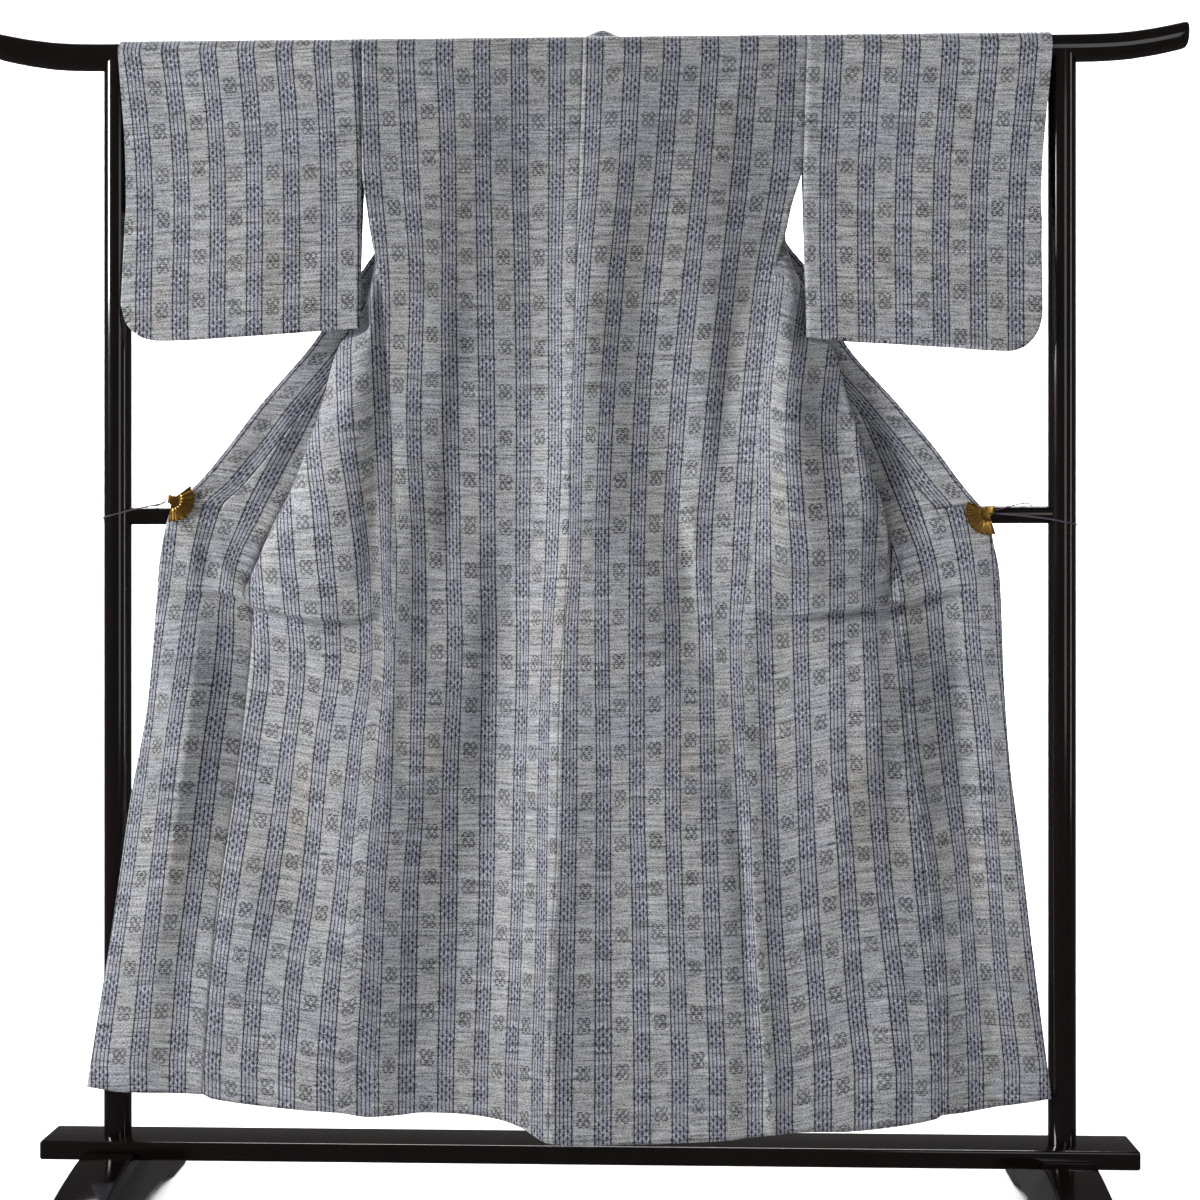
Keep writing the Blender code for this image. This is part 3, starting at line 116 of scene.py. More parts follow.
# Back: z, then x and y of the valley beside the side seam, crest, flat, dip beside the centre.
BACK_LEFT = (
    (1665, 266, -21.9, 201, -21.9, 137, -21.9, 70, -21.9),
    (1600, 266, -22, 201, -22, 137, -20, 80, -18), (1520, 268, -22, 205, -25, 138, -20, 78, -16),
    (1400, 256, -26, 208, -24, 136, -16, 70, -16), (1250, 255, -33, 207, -34, 158, -22, 75, -19),
    (1020, 250, -43, 215, -34, 178, -24, 88, -19), (880, 250, -43, 215, -31, 160, -28, 102, -18),
    (700, 258, -42, 220, -38, 175, -27, 121, -15), (500, 262, -40, 220, -28, 170, -17, 122, -18),
    (300, 265, -40, 225, -29, 170, -24, 130, -27), (110, 268, -45, 220, -38, 175, -36, 120, -42),
)
BACK_RIGHT = (
    (1665, 262, -21.9, 188, -21.9, 122, -21.9, 55, -21.9),
    (1600, 262, -24, 188, -26, 122, -27, 55, -27), (1520, 258, -25, 185, -33, 120, -33, 48, -33),
    (1400, 250, -25, 175, -36, 90, -31, 25, -38), (1250, 214, -24, 172, -36, 94, -27, 18, -42),
    (1020, 200, -34, 165, -34, 112, -28, 24, -48), (880, 198, -38, 148, -34, 95, -46, 25, -52),
    (700, 205, -44, 175, -44, 115, -49, 40, -50), (500, 222, -38, 195, -46, 130, -48, 35, -46),
    (300, 232, -41, 195, -46, 120, -45, 30, -44), (110, 245, -46, 190, -48, 110, -47, 20, -52),
)
# Front: z, then x and y of the near bulge, its crest, its rim, the fold behind it, the lap.
FRONT_LEFT = (
    (1665, 299, 21.9, 259, 21.9, 200.2, 21.9, 160.8, 21.9, 141.1, 21.9),
    (1632, 299, 21.5, 259, 22, 202, 23.5, 150, 25, 132, 26.5),
    (1600, 298, 21, 259, 22.5, 204, 25, 138, 27, 126, 31),
    (1574, 298, 20.5, 259, 23, 206, 26, 131, 29, 123, 35),
    (1548, 298, 20, 260, 23.5, 209, 26, 130, 31, 126, 38.5),
    (1523, 299, 19, 262, 24, 214, 26, 136, 32, 135, 41.5),
    (1497, 300, 17, 268, 23, 222, 26, 144, 33, 145, 43.5),
    (1460, 300, 12, 278, 19, 238, 25, 156, 33.5, 158, 44),
    (1400, 301, 1, 290, 11, 264, 19, 172, 33.5, 174, 44),
    (1353, 301, -19, 302, -10, 288, 4, 184, 29, 186, 40),
    (1312, 303, -34, 308, -22, 304, -8, 215, 15, 217, 26),
    (1275, 302, -38, 309, -20, 326, -6, 238, 5, 240, 16),
    (1245, 307, -43, 330, -36, 347, -20, 262, 0, 264, 11),
    (1160, 320, -57, 352, -50, 372, -30, 308, -5, 312, 6),
    (1100, 330, -59, 370, -51, 394, -30, 345, -11, 351, -2),
    (1045, 340, -60, 392, -50, 416, -32, 390, -18, 393, -10),
    (1020, 346, -60, 402, -48, 428, -33, 409, -22, 411, -17),
    (980, 352, -58, 418, -47, 448, -33, 440, -23.5, 443, -19),
    (930, 350, -54, 420, -45, 463, -31, 467, -23.5, 469, -20.5),
    (894, 338, -48, 415, -42, 458, -30, 475, -23, 479, -21.5),
    (860, 318, -42, 385, -41, 428, -32, 456, -23.5, 465, -21.5),
    (740, 306, -41, 366, -30, 402, -22, 446, -10, 464, -7),
    (600, 318, -43, 378, -30, 416, -21, 460, -14, 480, -13),
    (454, 326, -47, 388, -34, 428, -30, 474, -33, 497, -32),
    (313, 328, -52, 392, -48, 434, -44, 480, -40, 506, -37),
    (110, 338, -50, 402, -48, 442, -43, 486, -38, 513, -34),
)
FRONT_RIGHT = (
    (1665, 294, 21.9, 254, 21.9, 194.8, 21.9, 155.1, 21.9, 135.4, 21.9),
    (1632, 293, 21.5, 254, 22, 196, 23.5, 146, 25, 128, 26.5),
    (1600, 292, 21, 254, 22.5, 198, 25, 134, 27, 122, 31),
    (1574, 291, 20.5, 253, 23, 200, 26, 126, 29, 118, 35),
    (1548, 290, 20, 252, 23.5, 202, 26, 124, 31, 120, 38.5),
    (1523, 287, 19, 250, 24, 205, 26, 129, 32, 128, 41.5),
    (1497, 285, 16, 254, 22.5, 210, 26, 137, 33, 138, 43.5),
    (1460, 283, 10, 260, 18, 220, 25, 146, 33.5, 148, 44),
    (1400, 284, -4, 278, 9, 250, 18, 154, 33.5, 156, 44),
    (1353, 287, -27, 294, -15, 282, 2, 168, 29, 170, 40),
    (1312, 293, -38, 304, -23, 308, -9, 205, 15, 207, 26),
    (1262, 283, -42, 300, -26, 324, -4, 244, 4, 246, 14),
    (1250, 284, -46, 305, -31, 333, -14, 252, 1, 254, 12),
    (1232, 284, -50, 318, -40, 350, -22, 264, -1, 266, 10),
    (1160, 286, -56, 334, -38, 372, -24, 304, -6, 308, 5),
    (1100, 291, -61, 342, -43, 392, -31, 340, -11, 346, -2.5),
    (1045, 292, -62, 348, -47, 408, -36, 376, -18, 380, -10),
    (1020, 293, -62, 350, -49, 416, -37, 396, -22, 399, -17.5),
    (980, 292, -62, 350, -55, 420, -38, 420, -24, 424, -20.5),
    (945, 291, -61, 350, -57, 418, -39, 426, -24.5, 430, -22.5),
    (900, 288, -52, 345, -50, 410, -36, 427, -24, 432, -22.5),
    (868, 276, -43, 336, -46, 388, -40, 417, -30, 427, -26),
    (820, 266, -43, 326, -48, 372, -48, 407, -44, 422, -40),
    (740, 262, -42, 318, -50, 356, -56, 400, -60, 420, -56),
    (600, 270, -40, 324, -42, 362, -46, 408, -41, 432, -34),
    (454, 276, -38, 334, -35, 374, -33, 420, -29, 446, -27),
    (300, 284, -42, 344, -40, 384, -38, 430, -38, 460, -36),
    (110, 300, -44, 358, -44, 398, -43, 440, -41, 468, -39),
)
# Edge: z, then x and y of the front's seam, the collar line, the free edge.
EDGE_LEFT = (
    (1665, 101.6, 21.9, 101.6, 21.9, 84, 80), (1632, 104, 30, 104, 30, 103, 88),
    (1600, 110, 37, 110, 37, 137, 90), (1574, 119, 40.5, 119, 40.5, 160, 84),
    (1548, 132, 43.5, 132, 43.5, 186, 74), (1523, 150, 45.5, 150, 45.5, 210, 60),
    (1497, 170, 46, 170, 46, 232, 50), (1460, 198, 46, 198, 46, 260, 38),
    (1425, 222, 46, 222, 46, 281, 30), (1388, 238, 43, 243, 43, 305, 23),
    (1353, 248, 40, 266, 37, 328, 18), (1312, 272, 28, 298, 24, 355, 12),
    (1250, 293, 16, 332, 12, 395, 6), (1160, 345, 8, 403, 4, 470, -4),
    (1100, 375, 0, 448, -4, 514, -11), (1045, 408, -9, 492, -14, 559, -18),
    (1020, 421, -16.5, 518, -18, 589, -20), (980, 451, -17.5, 535, -18, 602, -21),
    (930, 473, -19, 546, -17, 610, -21), (894, 485, -20, 549, -16, 613, -20),
    (860, 477, -14, 551, -24, 615.5, -20), (740, 488, -4, 560, -31, 626, -20),
    (600, 504, -13, 577, -38, 650, -22), (454, 523, -27, 596, -38, 671, -23),
    (313, 535.5, -34, 615, -35, 693, -23.5), (180, 544, -32, 630, -30, 714, -23.5),
    (110, 548, -31, 636, -28, 722, -23.5),
)
EDGE_RIGHT = (
    (1665, 95.9, 21.9, 95.9, 21.9, 78, 80), (1632, 100, 30, 100, 30, 99, 88),
    (1600, 106, 37, 106, 37, 132, 90), (1574, 114, 40.5, 114, 40.5, 154, 84),
    (1548, 126, 43.5, 126, 43.5, 178, 74), (1523, 142, 45.5, 142, 45.5, 201, 60),
    (1497, 161, 46, 161, 46, 222, 50), (1460, 189, 46, 189, 46, 249, 38),
    (1425, 212, 46, 212, 46, 270, 31), (1388, 226, 43, 231, 43, 293, 23),
    (1353, 238, 40, 258, 36, 320, 18), (1312, 252, 30, 278, 26, 340, 12),
    (1254, 268, 16, 304, 12, 366, 6), (1160, 326, 8, 382, 3, 444, -4),
    (1100, 360, 1, 430, -4, 493, -10), (1045, 390, -8, 468, -14, 532, -18),
    (1020, 406, -16.5, 488, -18, 553, -19.5), (1003, 415, -17, 500, -18.5, 569, -20),
    (967, 430, -22, 514, -19, 574.5, -21), (925, 436, -25, 520, -19, 583, -21),
    (879, 440, -24, 523, -19, 586, -20), (820, 444, -38, 524, -15, 588, -20),
    (770, 448, -46, 525, -12, 590, -20),
    (657, 459, -38, 532, -8, 598, -20),
    (545, 473, -27, 543, -9, 612, -20), (432, 487, -24, 557, -13, 625, -20),
    (300, 499, -34, 570, -21, 641, -20),
    (161, 503, -35, 580, -20, 658.5, -22), (110, 505, -35, 584, -20, 664, -22),
)
# Hem and waist tuck: x over the whole width, z.
HEM = (
    (-722, 188), (-651, 181), (-545, 180), (-532, 174.5), (-491, 169), (-404, 163), (-346, 160),
    (-303, 154), (-263, 155.5), (-234, 158), (-177, 156), (-120, 149.5), (-91, 141.5),
    (-49.5, 121.5), (-7, 118), (78, 119), (190, 125), (302, 137), (356, 138), (443, 146.5),
    (493, 155.5), (502, 160.5), (528, 162), (584, 170.5), (664, 183),
)
TUCK = (
    (-620, 900), (-544, 897), (-489, 886), (-476, 874.5), (-404, 860), (-361, 856), (-317, 856),
    (-296, 866), (-266, 858), (0, 862), (243, 869), (267, 862), (288, 861), (344, 868),
    (401, 875), (444, 879), (486, 890), (521, 897), (590, 902),
)
# Collar round the neck, right half: x share of the neck, then y and z of three points
# from the sewn edge to the free edge.
NECK_BAND = (
    (0.0, 15, 1688, 33, 1674, 43, 1646), (0.2, 15, 1688, 34, 1674.5, 44, 1650),
    (0.4, 15, 1688, 35, 1677, 47, 1660), (0.6, 17, 1689, 37, 1682, 50, 1670),
    (0.8, 19, 1690, 39, 1687, 55, 1680), (1.0, 21, 1690, 42, 1690, 60, 1686),
)
COLLAR_BUMP = (23, 20, 13)       # x, half width, height of the collar's rise over the rail

# Sleeve: z, outer edge x, near layer y, far layer y, far layer's outer edge x.
SLEEVE_LEFT = (
    (1665, 669, -21.9, 21.9, 666), (1626, 665.5, -22.5, 21.2, 652), (1554, 659.5, -24, 17, 651.5),
    (1497, 657, -25, 11, 651.5), (1440, 656, -26.5, -6, 653), (1400, 656.5, -28, -14, 655.5),
    (1340, 657.5, -33, -24, 657), (1300, 658, -36, -29, 658), (1250, 658, -36, -30, 658),
)
SLEEVE_RIGHT = (
    (1665, 657.5, -21.9, 21.9, 655), (1626, 654.5, -22.5, 21.9, 651.5), (1571, 649, -24, 18, 648),
    (1487, 642, -26, 8, 641.5), (1430, 640, -27.5, -8, 640), (1374, 638.7, -29, -18, 638.7),
    (1300, 638.5, -35, -28, 638.5), (1240, 638.5, -35, -29, 638.5),
)
# Sleeve hem: x, z, inner to outer edge with the rounded corner.
SLEEVE_HEM_LEFT = (
    (318.5, 1272), (377, 1267.5), (463, 1261.5), (520, 1258), (575, 1255), (605, 1254.5),
    (624, 1257.5), (640, 1266), (652, 1281), (658, 1304),
)
SLEEVE_HEM_RIGHT = (
    (311, 1256), (373, 1249), (415, 1246.5), (513, 1240), (575, 1235.5), (595, 1235),
    (611, 1239), (625, 1250), (634, 1265), (638.5, 1284),
)
FURI_LEFT = ((1665, 318.5), (1497, 318.2), (1260, 318.6))       # sleeve's inner edge: z, x
FURI_RIGHT = ((1665, 313.5), (1560, 309.5), (1497, 307.5), (1450, 307.6), (1250, 311.5))

# Middle of each striped band, counted outward: z, x.
BANDS = {
    "back_left": (
        (1654, 40, 94, 147, 200, 256, 309), (1497, 41, 93, 146, 194, 249, 303),
        (1326, 43, 89, 143, 194, 238, 289), (1133, 42, 87, 140, 191, 243, 285),
        (940, 47, 88, 139, 187, 236, 273), (826, 53, 87, 137, 184, 236, 276),
        (597, 59, 92, 139, 193, 239, 283), (476, 60, 94, 140, 194, 248, 291),
        (219, 66, 103, 147, 197, 253, 301),
    ),
    "back_right": (
        (1654, 14, 67, 123, 177, 233, 286, 341), (1497, 9, 59, 111, 166, 220, 277, 331),
        (1326, -4, 43, 94, 149, 201, 249, 300), (1133, -11, 29, 79, 130, 180, 230, 280),
        (940, -13, 23, 74, 120, 167, 219, 265), (826, -19, 24, 73, 124, 171, 213, 245),
        (597, -21, 27, 73, 124, 174, 224, 262), (476, -23, 26, 77, 127, 177, 229, 258),
        (219, -29, 26, 81, 134, 186, 240, 285),
    ),
    "front_left": (
        (1353, 296, 348, 400, 455, 510), (1116, 284, 334, 386, 440, 495), (1009, 281, 319, 371, 427, 480),
        (923, 280, 309, 364, 420, 470), (809, 276, 307, 356, 409, 463), (680, 283, 323, 374, 423, 479),
        (494, 299, 341, 391, 447, 503), (352, 303, 356, 411, 467, 521), (223, 309, 366, 421, 476, 530),
    ),
    "front_right": (
        (1353, 272, 318, 370, 425, 480), (1116, 251, 289, 343, 391, 445), (1009, 251, 294, 351, 400, 450),
        (923, 250, 301, 354, 397, 440), (809, 253, 303, 353, 400, 446), (680, 257, 307, 354, 404, 459),
        (494, 263, 314, 369, 419, 476), (352, 271, 324, 377, 436, 489), (223, 280, 334, 390, 449, 496),
    ),
    "okumi_left": (
        (1353, 305, 365, 420), (1116, 423, 483, 540), (1009, 476, 537, 592), (923, 510, 556, 601),
        (809, 517, 571, 617), (680, 533, 589, 630), (494, 554, 609, 654), (352, 571, 624, 676),
        (223, 581, 637, 694),
    ),
    "okumi_right": (
        (1353, 298, 350, 405), (1116, 416, 466, 520), (1009, 460, 523, 577), (923, 486, 539, 584),
        (809, 497, 549, 589), (680, 510, 564, 601), (494, 533, 577, 617), (352, 543, 587, 633),
        (223, 550, 601, 650),
    ),
}
# First band of a sleeve: z, distance from the sleeve's inner edge.
SLEEVE_BAND_LEFT = ((1310, 46), (1500, 49.5), (1583, 52.5), (1665, 57))
SLEEVE_BAND_RIGHT = ((1310, 34), (1665, 38))
COLLAR_BAND = 12          # the collar's one band, from its sewn edge

# Clip, in metres: hub x and z, direction of the fan in degrees, x and z of its hinge bar.
CLIP_LEFT = (-0.5895, 1.0265, -32.0, -0.5942, 1.0270)
CLIP_RIGHT = (0.5672, 1.0062, 220.0, 0.5730, 1.0098)


def linear(code: str) -> tuple[float, float, float, float]:
    """Turns an sRGB hex colour into linear numbers.

    Args:
        code: Six hex digits.

    Returns:
        Red, green, blue and alpha 1.
    """
    result = []
    for start in (0, 2, 4):
        value = int(code[start:start + 2], 16) / 255
        result.append(value / 12.92 if value <= 0.04045 else ((value + 0.055) / 1.055) ** 2.4)
    return result[0], result[1], result[2], 1.0


# ---- reading the tables ----

class Curves:
    """The columns of a table as smooth curves that never overshoot its rows."""

    def __init__(self, rows: tuple[Row, ...]) -> None:
        """Works out the slopes of every column.

        Args:
            rows: The table, each row starting with its place.
        """
        ordered = np.array(sorted(rows), dtype=float)
        self.at = ordered[:, 0]
        self.values = ordered[:, 1:]
        steps = np.diff(self.values, axis=0) / np.diff(self.at)[:, None]
        slopes = np.zeros_like(self.values)
        slopes[0], slopes[-1] = steps[0], steps[-1]
        before, after = steps[:-1], steps[1:]
        same = before * after > 0
        total = np.where(same, before + after, 1.0)
        slopes[1:-1] = np.where(same, 2 * before * after / total, 0.0)
        self.slopes = slopes

    def read(self, where: np.ndarray | float, column: int = 0) -> np.ndarray:
        """Reads one column.

        Args:
            where: Places along the table.
            column: The column, counted after the place.

        Returns:
            The column's values there.
        """
        place = np.clip(np.asarray(where, dtype=float), self.at[0], self.at[-1])
        low = np.clip(np.searchsorted(self.at, place, side="right") - 1, 0, len(self.at) - 2)
        span = self.at[low + 1] - self.at[low]
        t = (place - self.at[low]) / span
        return (
            (2 * t ** 3 - 3 * t ** 2 + 1) * self.values[low, column]
            + (t ** 3 - 2 * t ** 2 + t) * span * self.slopes[low, column]
            + (3 * t ** 2 - 2 * t ** 3) * self.values[low + 1, column]
            + (t ** 3 - t ** 2) * span * self.slopes[low + 1, column]
        )


def spread(stations: np.ndarray, counts: tuple[tuple[int, int, int], ...]) -> np.ndarray:
    """Draws a smooth curve through stations and puts evenly spaced points on it.

    Args:
        stations: The places that the curve passes, one a row.
        counts: First station, last station and steps between them, for each stretch.

    Returns:
        The points, one a row.
    """
    ends = np.vstack([2 * stations[0] - stations[1], stations, 2 * stations[-1] - stations[-2]])
    t = (np.arange(1, 13) / 12)[:, None]
    points = [stations[:1]]
    for first, last, count in counts:
        dense = [stations[first][None, :]]
        for k in range(first + 1, last + 1):
            before, start, stop, after = ends[k - 1], ends[k], ends[k + 1], ends[k + 2]
            dense.append(0.5 * (
                2 * start + (stop - before) * t
                + (2 * before - 5 * start + 4 * stop - after) * t ** 2
                + (3 * start - before - 3 * stop + after) * t ** 3
            ))
        line = np.vstack(dense)
        length = np.concatenate([[0.0], np.cumsum(np.linalg.norm(np.diff(line, axis=0), axis=1))])
        wanted = length[-1] * np.arange(1, count + 1) / count
        columns = [np.interp(wanted, length, line[:, k]) for k in range(line.shape[1])]
        points.append(np.column_stack(columns))
    return np.vstack(points)


def path_length(points: np.ndarray, axis: int) -> np.ndarray:
    """Running length along a grid of points.

    Args:
        points: Grid of places, rows by columns by 3.
        axis: 0 to run along the rows' direction, 1 along the columns'.

    Returns:
        The length from the first row or column to each point.
    """
    step = np.linalg.norm(np.diff(points, axis=axis), axis=2)
    total = np.cumsum(step, axis=axis)
    lead = np.zeros((1, points.shape[1])) if axis == 0 else np.zeros((points.shape[0], 1))
    return np.concatenate([lead, total], axis=axis)


def from_tuck(points: np.ndarray, rows: np.ndarray) -> np.ndarray:
    """Length along the cloth down from the waist tuck, below 0 above it.

    Args:
        points: Grid of points, rows from the hem up.
        rows: Their row places.

    Returns:
        The length at each point, in metres.
    """
    up = path_length(points, 0)
    return up[int(np.searchsorted(rows, SKIRT_ROWS))][None, :] - up


# ---- the rows of the garment ----

class Part(Enum):
    """A stretch of one half between two of its seams."""

    BACK = "back"
    FRONT = "front"
    GUSSET = "gusset"
    BAND = "band"


WAIST_SHARES = (0.0, 0.014, 0.10, 0.18, 0.26, 0.35, 0.44, 0.53, 0.62, 0.71, 0.79, 0.865, 0.935, 1.0)
ABOVE = (1353.0, 1400.0, 1448.0, 1497.0, 1523.5, 1548.0, 1574.0, 1600.0, 1632.5, 1665.0)
SKIRT_ROWS = 10
SIDE_ROW = 23             # top of the side seam
TIP_ROW = 24              # top of the overlap panel
FOOT_ROW = 26             # foot of the armhole
RAIL_ROW = 32             # the cloth meets the rail
COLLAR_ROW = 14           # lower end of the collar
ARC_STEPS = 18
BACK_COLUMNS = 16 * COLUMN_SPLIT
NECK_COLUMN = 11 * COLUMN_SPLIT
GUSSET_COLUMNS = 4 * COLUMN_SPLIT
BAND_COLUMNS = 3 * COLUMN_SPLIT
FRONT_STRETCHES = ((0, 3, 6), (3, 4, 2), (4, 5, 1), (5, 6, 2))
# Waist tuck: height over its line in mm, share of the lip's depth. Its underside is drawn in.
LIP_TABLE = (
    (-22.0, 0.0), (-14.0, -0.10), (-9.0, -0.42), (-6.0, -0.62), (-3.5, -0.30), (0.0, 0.88), (1.5, 1.0),
    (10.0, 0.86), (22.0, 0.42), (38.0, 0.0),
)

LIP_REACH = 40.0          # mm over and under the tuck's line
MID_SKIRT = 500.0         # heights in mm at which the search for a row's place starts
TUCK_Z = 880.0

HEM_CURVE = Curves(HEM)
TUCK_CURVE = Curves(TUCK)
CENTRE_CURVE = Curves(CENTRE)
NECK_CURVE = Curves(NECK_BAND)
RAIL_CURVE = Curves(RAIL_TABLE)
LIP_CURVE = Curves(LIP_TABLE)


def row_split(row: int) -> int:
    """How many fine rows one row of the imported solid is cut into.

    Args:
        row: The row, counted from the hem.

    Returns:
        The number of fine rows.
    """
    if row < SKIRT_ROWS - 1:
        return SKIRT_SPLIT
    if row == SKIRT_ROWS - 1:
        return UNDER_TUCK_SPLIT
    return OVER_TUCK_SPLIT if row <= SKIRT_ROWS + 1 else ABOVE_SPLIT


def fine_rows(first: int, last: int) -> np.ndarray:
    """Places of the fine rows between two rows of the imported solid.

    Args:
        first: The lower row.
        last: The upper row.

    Returns:
        Row places, both ends included.
    """
    places = []
    for row in range(first, last):
        split = row_split(row)
        places += [row + k / split for k in range(split)]
    return np.array(places + [float(last)])


def row_height(row: np.ndarray, x: np.ndarray) -> np.ndarray:
    """Height of a place on a row.

    Args:
        row: Row places.
        x: Places across the whole garment, in mm.

    Returns:
        Heights in mm.
    """
    hem = HEM_CURVE.read(x)
    tuck = TUCK_CURVE.read(x)
    share = np.interp(row, np.arange(SKIRT_ROWS, SIDE_ROW + 1), WAIST_SHARES)
    above = np.interp(row, np.arange(SIDE_ROW, RAIL_ROW + 1), ABOVE)
    skirt = hem + (tuck - hem) * row / SKIRT_ROWS
    waist = tuck + (SIDE_TOP / MM - tuck) * share
    return np.where(row <= SKIRT_ROWS, skirt, np.where(row <= SIDE_ROW, waist, above))


@dataclass
class Half:
    """One half of the garment: its tables, and the surfaces made from them."""

    name: str
    sign: int
    side: Curves
    back: Curves
    front: Curves
    edge: Curves
    levels: np.ndarray = field(default_factory=lambda: np.arange(108.0, 1669.0, 4.0))
    sections: dict[Part, np.ndarray] = field(default_factory=dict)

    def __post_init__(self) -> None:
        """Draws every part's section at every level."""
        for part in Part:
            rows = [self.section(part, z) for z in self.levels]
            self.sections[part] = np.array(rows) * np.array([self.sign, 1.0])

    def stations(self, table: Curves, z: float, count: int) -> np.ndarray:
        """Reads x and y pairs of a table at a height."""
        return np.array([[table.read(z, 2 * k), table.read(z, 2 * k + 1)] for k in range(count)])

    def section(self, part: Part, z: float) -> np.ndarray:
        """Draws one part's section.

        Args:
            part: The part.
            z: Height in mm.

        Returns:
            Points in mm, x counted outward.
        """
        side = self.stations(self.side, z, 2)
        edge = self.stations(self.edge, z, 3)
        if part is Part.BACK:
            centre = np.array([[CENTRE_CURVE.read(z, 0) * self.sign, CENTRE_CURVE.read(z, 1)]])
            line = np.vstack([side[:1], self.stations(self.back, z, 4), centre])
            return spread(line, ((0, 5, BACK_COLUMNS),))
        if part is Part.FRONT:
            line = np.vstack([side[1:], self.stations(self.front, z, 5), edge[:1]])
            return spread(line, tuple((a, b, c * COLUMN_SPLIT) for a, b, c in FRONT_STRETCHES))
        if part is Part.GUSSET:
            middle = (edge[0] + edge[1]) / 2 + np.array([0.0, 3.0 * min(1.0, (1400 - z) / 300)])
            return spread(np.vstack([edge[0], middle, edge[1]]), ((0, 2, GUSSET_COLUMNS),))
        middle = (edge[1] + edge[2]) / 2 + np.array([0.0, -2.5 if z < 960 else -1.0])
        return spread(np.vstack([edge[1], middle, edge[2]]), ((0, 2, BAND_COLUMNS),))

    def at(self, part: Part, z: np.ndarray) -> np.ndarray:
        """Points of one part's columns at given heights.

        Args:
            part: The part.
            z: Heights in mm, rows by columns.

        Returns:
            Points in mm, rows by columns by 3.
        """
        grid = self.sections[part]
        place = (z - self.levels[0]) / (self.levels[1] - self.levels[0])
        low = np.clip(np.floor(place).astype(int), 0, len(self.levels) - 2)
        share = (place - low)[..., None]
        column = np.broadcast_to(np.arange(z.shape[1]), z.shape)
        flat = grid[low, column] * (1 - share) + grid[low + 1, column] * share
        return np.concatenate([flat, z[..., None]], axis=2)

    def surface(self, part: Part, rows: np.ndarray) -> np.ndarray:
        """The middle surface of one part.

        Args:
            part: The part.
            rows: Row places.

        Returns:
            Points in metres, rows by columns by 3.
        """
        count = self.sections[part].shape[1]
        row = np.broadcast_to(rows[:, None], (len(rows), count))
        start = np.where(row < SKIRT_ROWS, MID_SKIRT, TUCK_Z)
        x = self.at(part, start)[..., 0]
        for _ in range(3):
            z = row_height(row, x)
            points = self.at(part, z)
            x = points[..., 0]
        if part is not Part.BACK:
            height = z - TUCK_CURVE.read(x)
            lip = np.where(np.abs(height) < LIP_REACH, LIP_CURVE.read(height), 0.0)
            points[..., 1] -= lip * tuck_share(part, count) * LIP / MM
        return points * MM


def tuck_share(part: Part, count: int) -> np.ndarray:
    """How strongly the waist tuck shows in each column.

    Args:
        part: The part.
        count: Its columns.

    Returns:
        A share for each column.
    """
    column = np.arange(count) / COLUMN_SPLIT
    if part is Part.FRONT:
        return np.minimum(1.0, column / 3)
    if part is Part.GUSSET:
        return 1.0 - 0.45 * column / 4
    return 0.55 * (1 - column / 3)


# ---- creases ----

class Layer(Enum):
    """Which face of the hanging garment a stretch of cloth lies on."""

    NEAR = "near"
    FAR = "far"


@dataclass(frozen=True)
class Crease:
    """A soft trough or ridge on the near face, as a stroke seen square on, in mm."""

    start: tuple[float, float]
    end: tuple[float, float]
    width: float
    depth: float              # above 0 stands out, below 0 sinks in

    def height(self, x: np.ndarray, z: np.ndarray) -> np.ndarray:
        """How far the stroke moves the cloth outward.

        Args:
            x: Places across, in mm.
            z: Heights in mm.

        Returns:
            Distances in mm.
        """
        ax, az = self.start
        bx, bz = self.end
        length = math.hypot(bx - ax, bz - az)
        ux, uz = (bx - ax) / length, (bz - az) / length
        along = (x - ax) * ux + (z - az) * uz
        aside = (x - ax) * uz - (z - az) * ux
        inside = np.clip(along / length, 0.0, 1.0)
        beyond = along - inside * length
        taper = np.sin(np.pi * (0.12 + 0.76 * inside)) ** 0.8
        return self.depth * taper * np.exp(-(aside ** 2 + beyond ** 2) / self.width ** 2)


@dataclass
class Patch:
    """A grid of points of one cloth surface with its place on the flat cloth."""

    points: np.ndarray
    across: np.ndarray        # metres across the striped cloth, a band's middle at each whole period
    along: np.ndarray         # metres along the cloth
    layer: Layer = Layer.NEAR

    def sink_edge(self, edge: str, depth: float = SEAM_DEPTH, gap: float = 0.00003) -> None:
        """Sets an edge back a little, as cloth turned under at a seam.

        Args:
            edge: first_column, last_column, first_row or last_row.
            depth: How far the edge sinks.
            gap: How far it stops short of the seam.
        """
        grid = self.points if "column" in edge else self.points.transpose(1, 0, 2)
        order = grid if edge.startswith("first") else grid[:, ::-1]
        rim, inner = order[:, 0].copy(), order[:, 1].copy()
        step = inner - rim
        size = np.linalg.norm(step, axis=1, keepdims=True)
        size[size < 1e-7] = 1.0
        inward = np.sign(rim[:, 1:2]) if self.layer is Layer.FAR else np.full((len(rim), 1), -1.0)
        order[:, 0] = rim + step / size * gap
        order[:, 0, 1] -= inward[:, 0] * depth
        order[:, 1, 1] -= inward[:, 0] * depth * 0.25


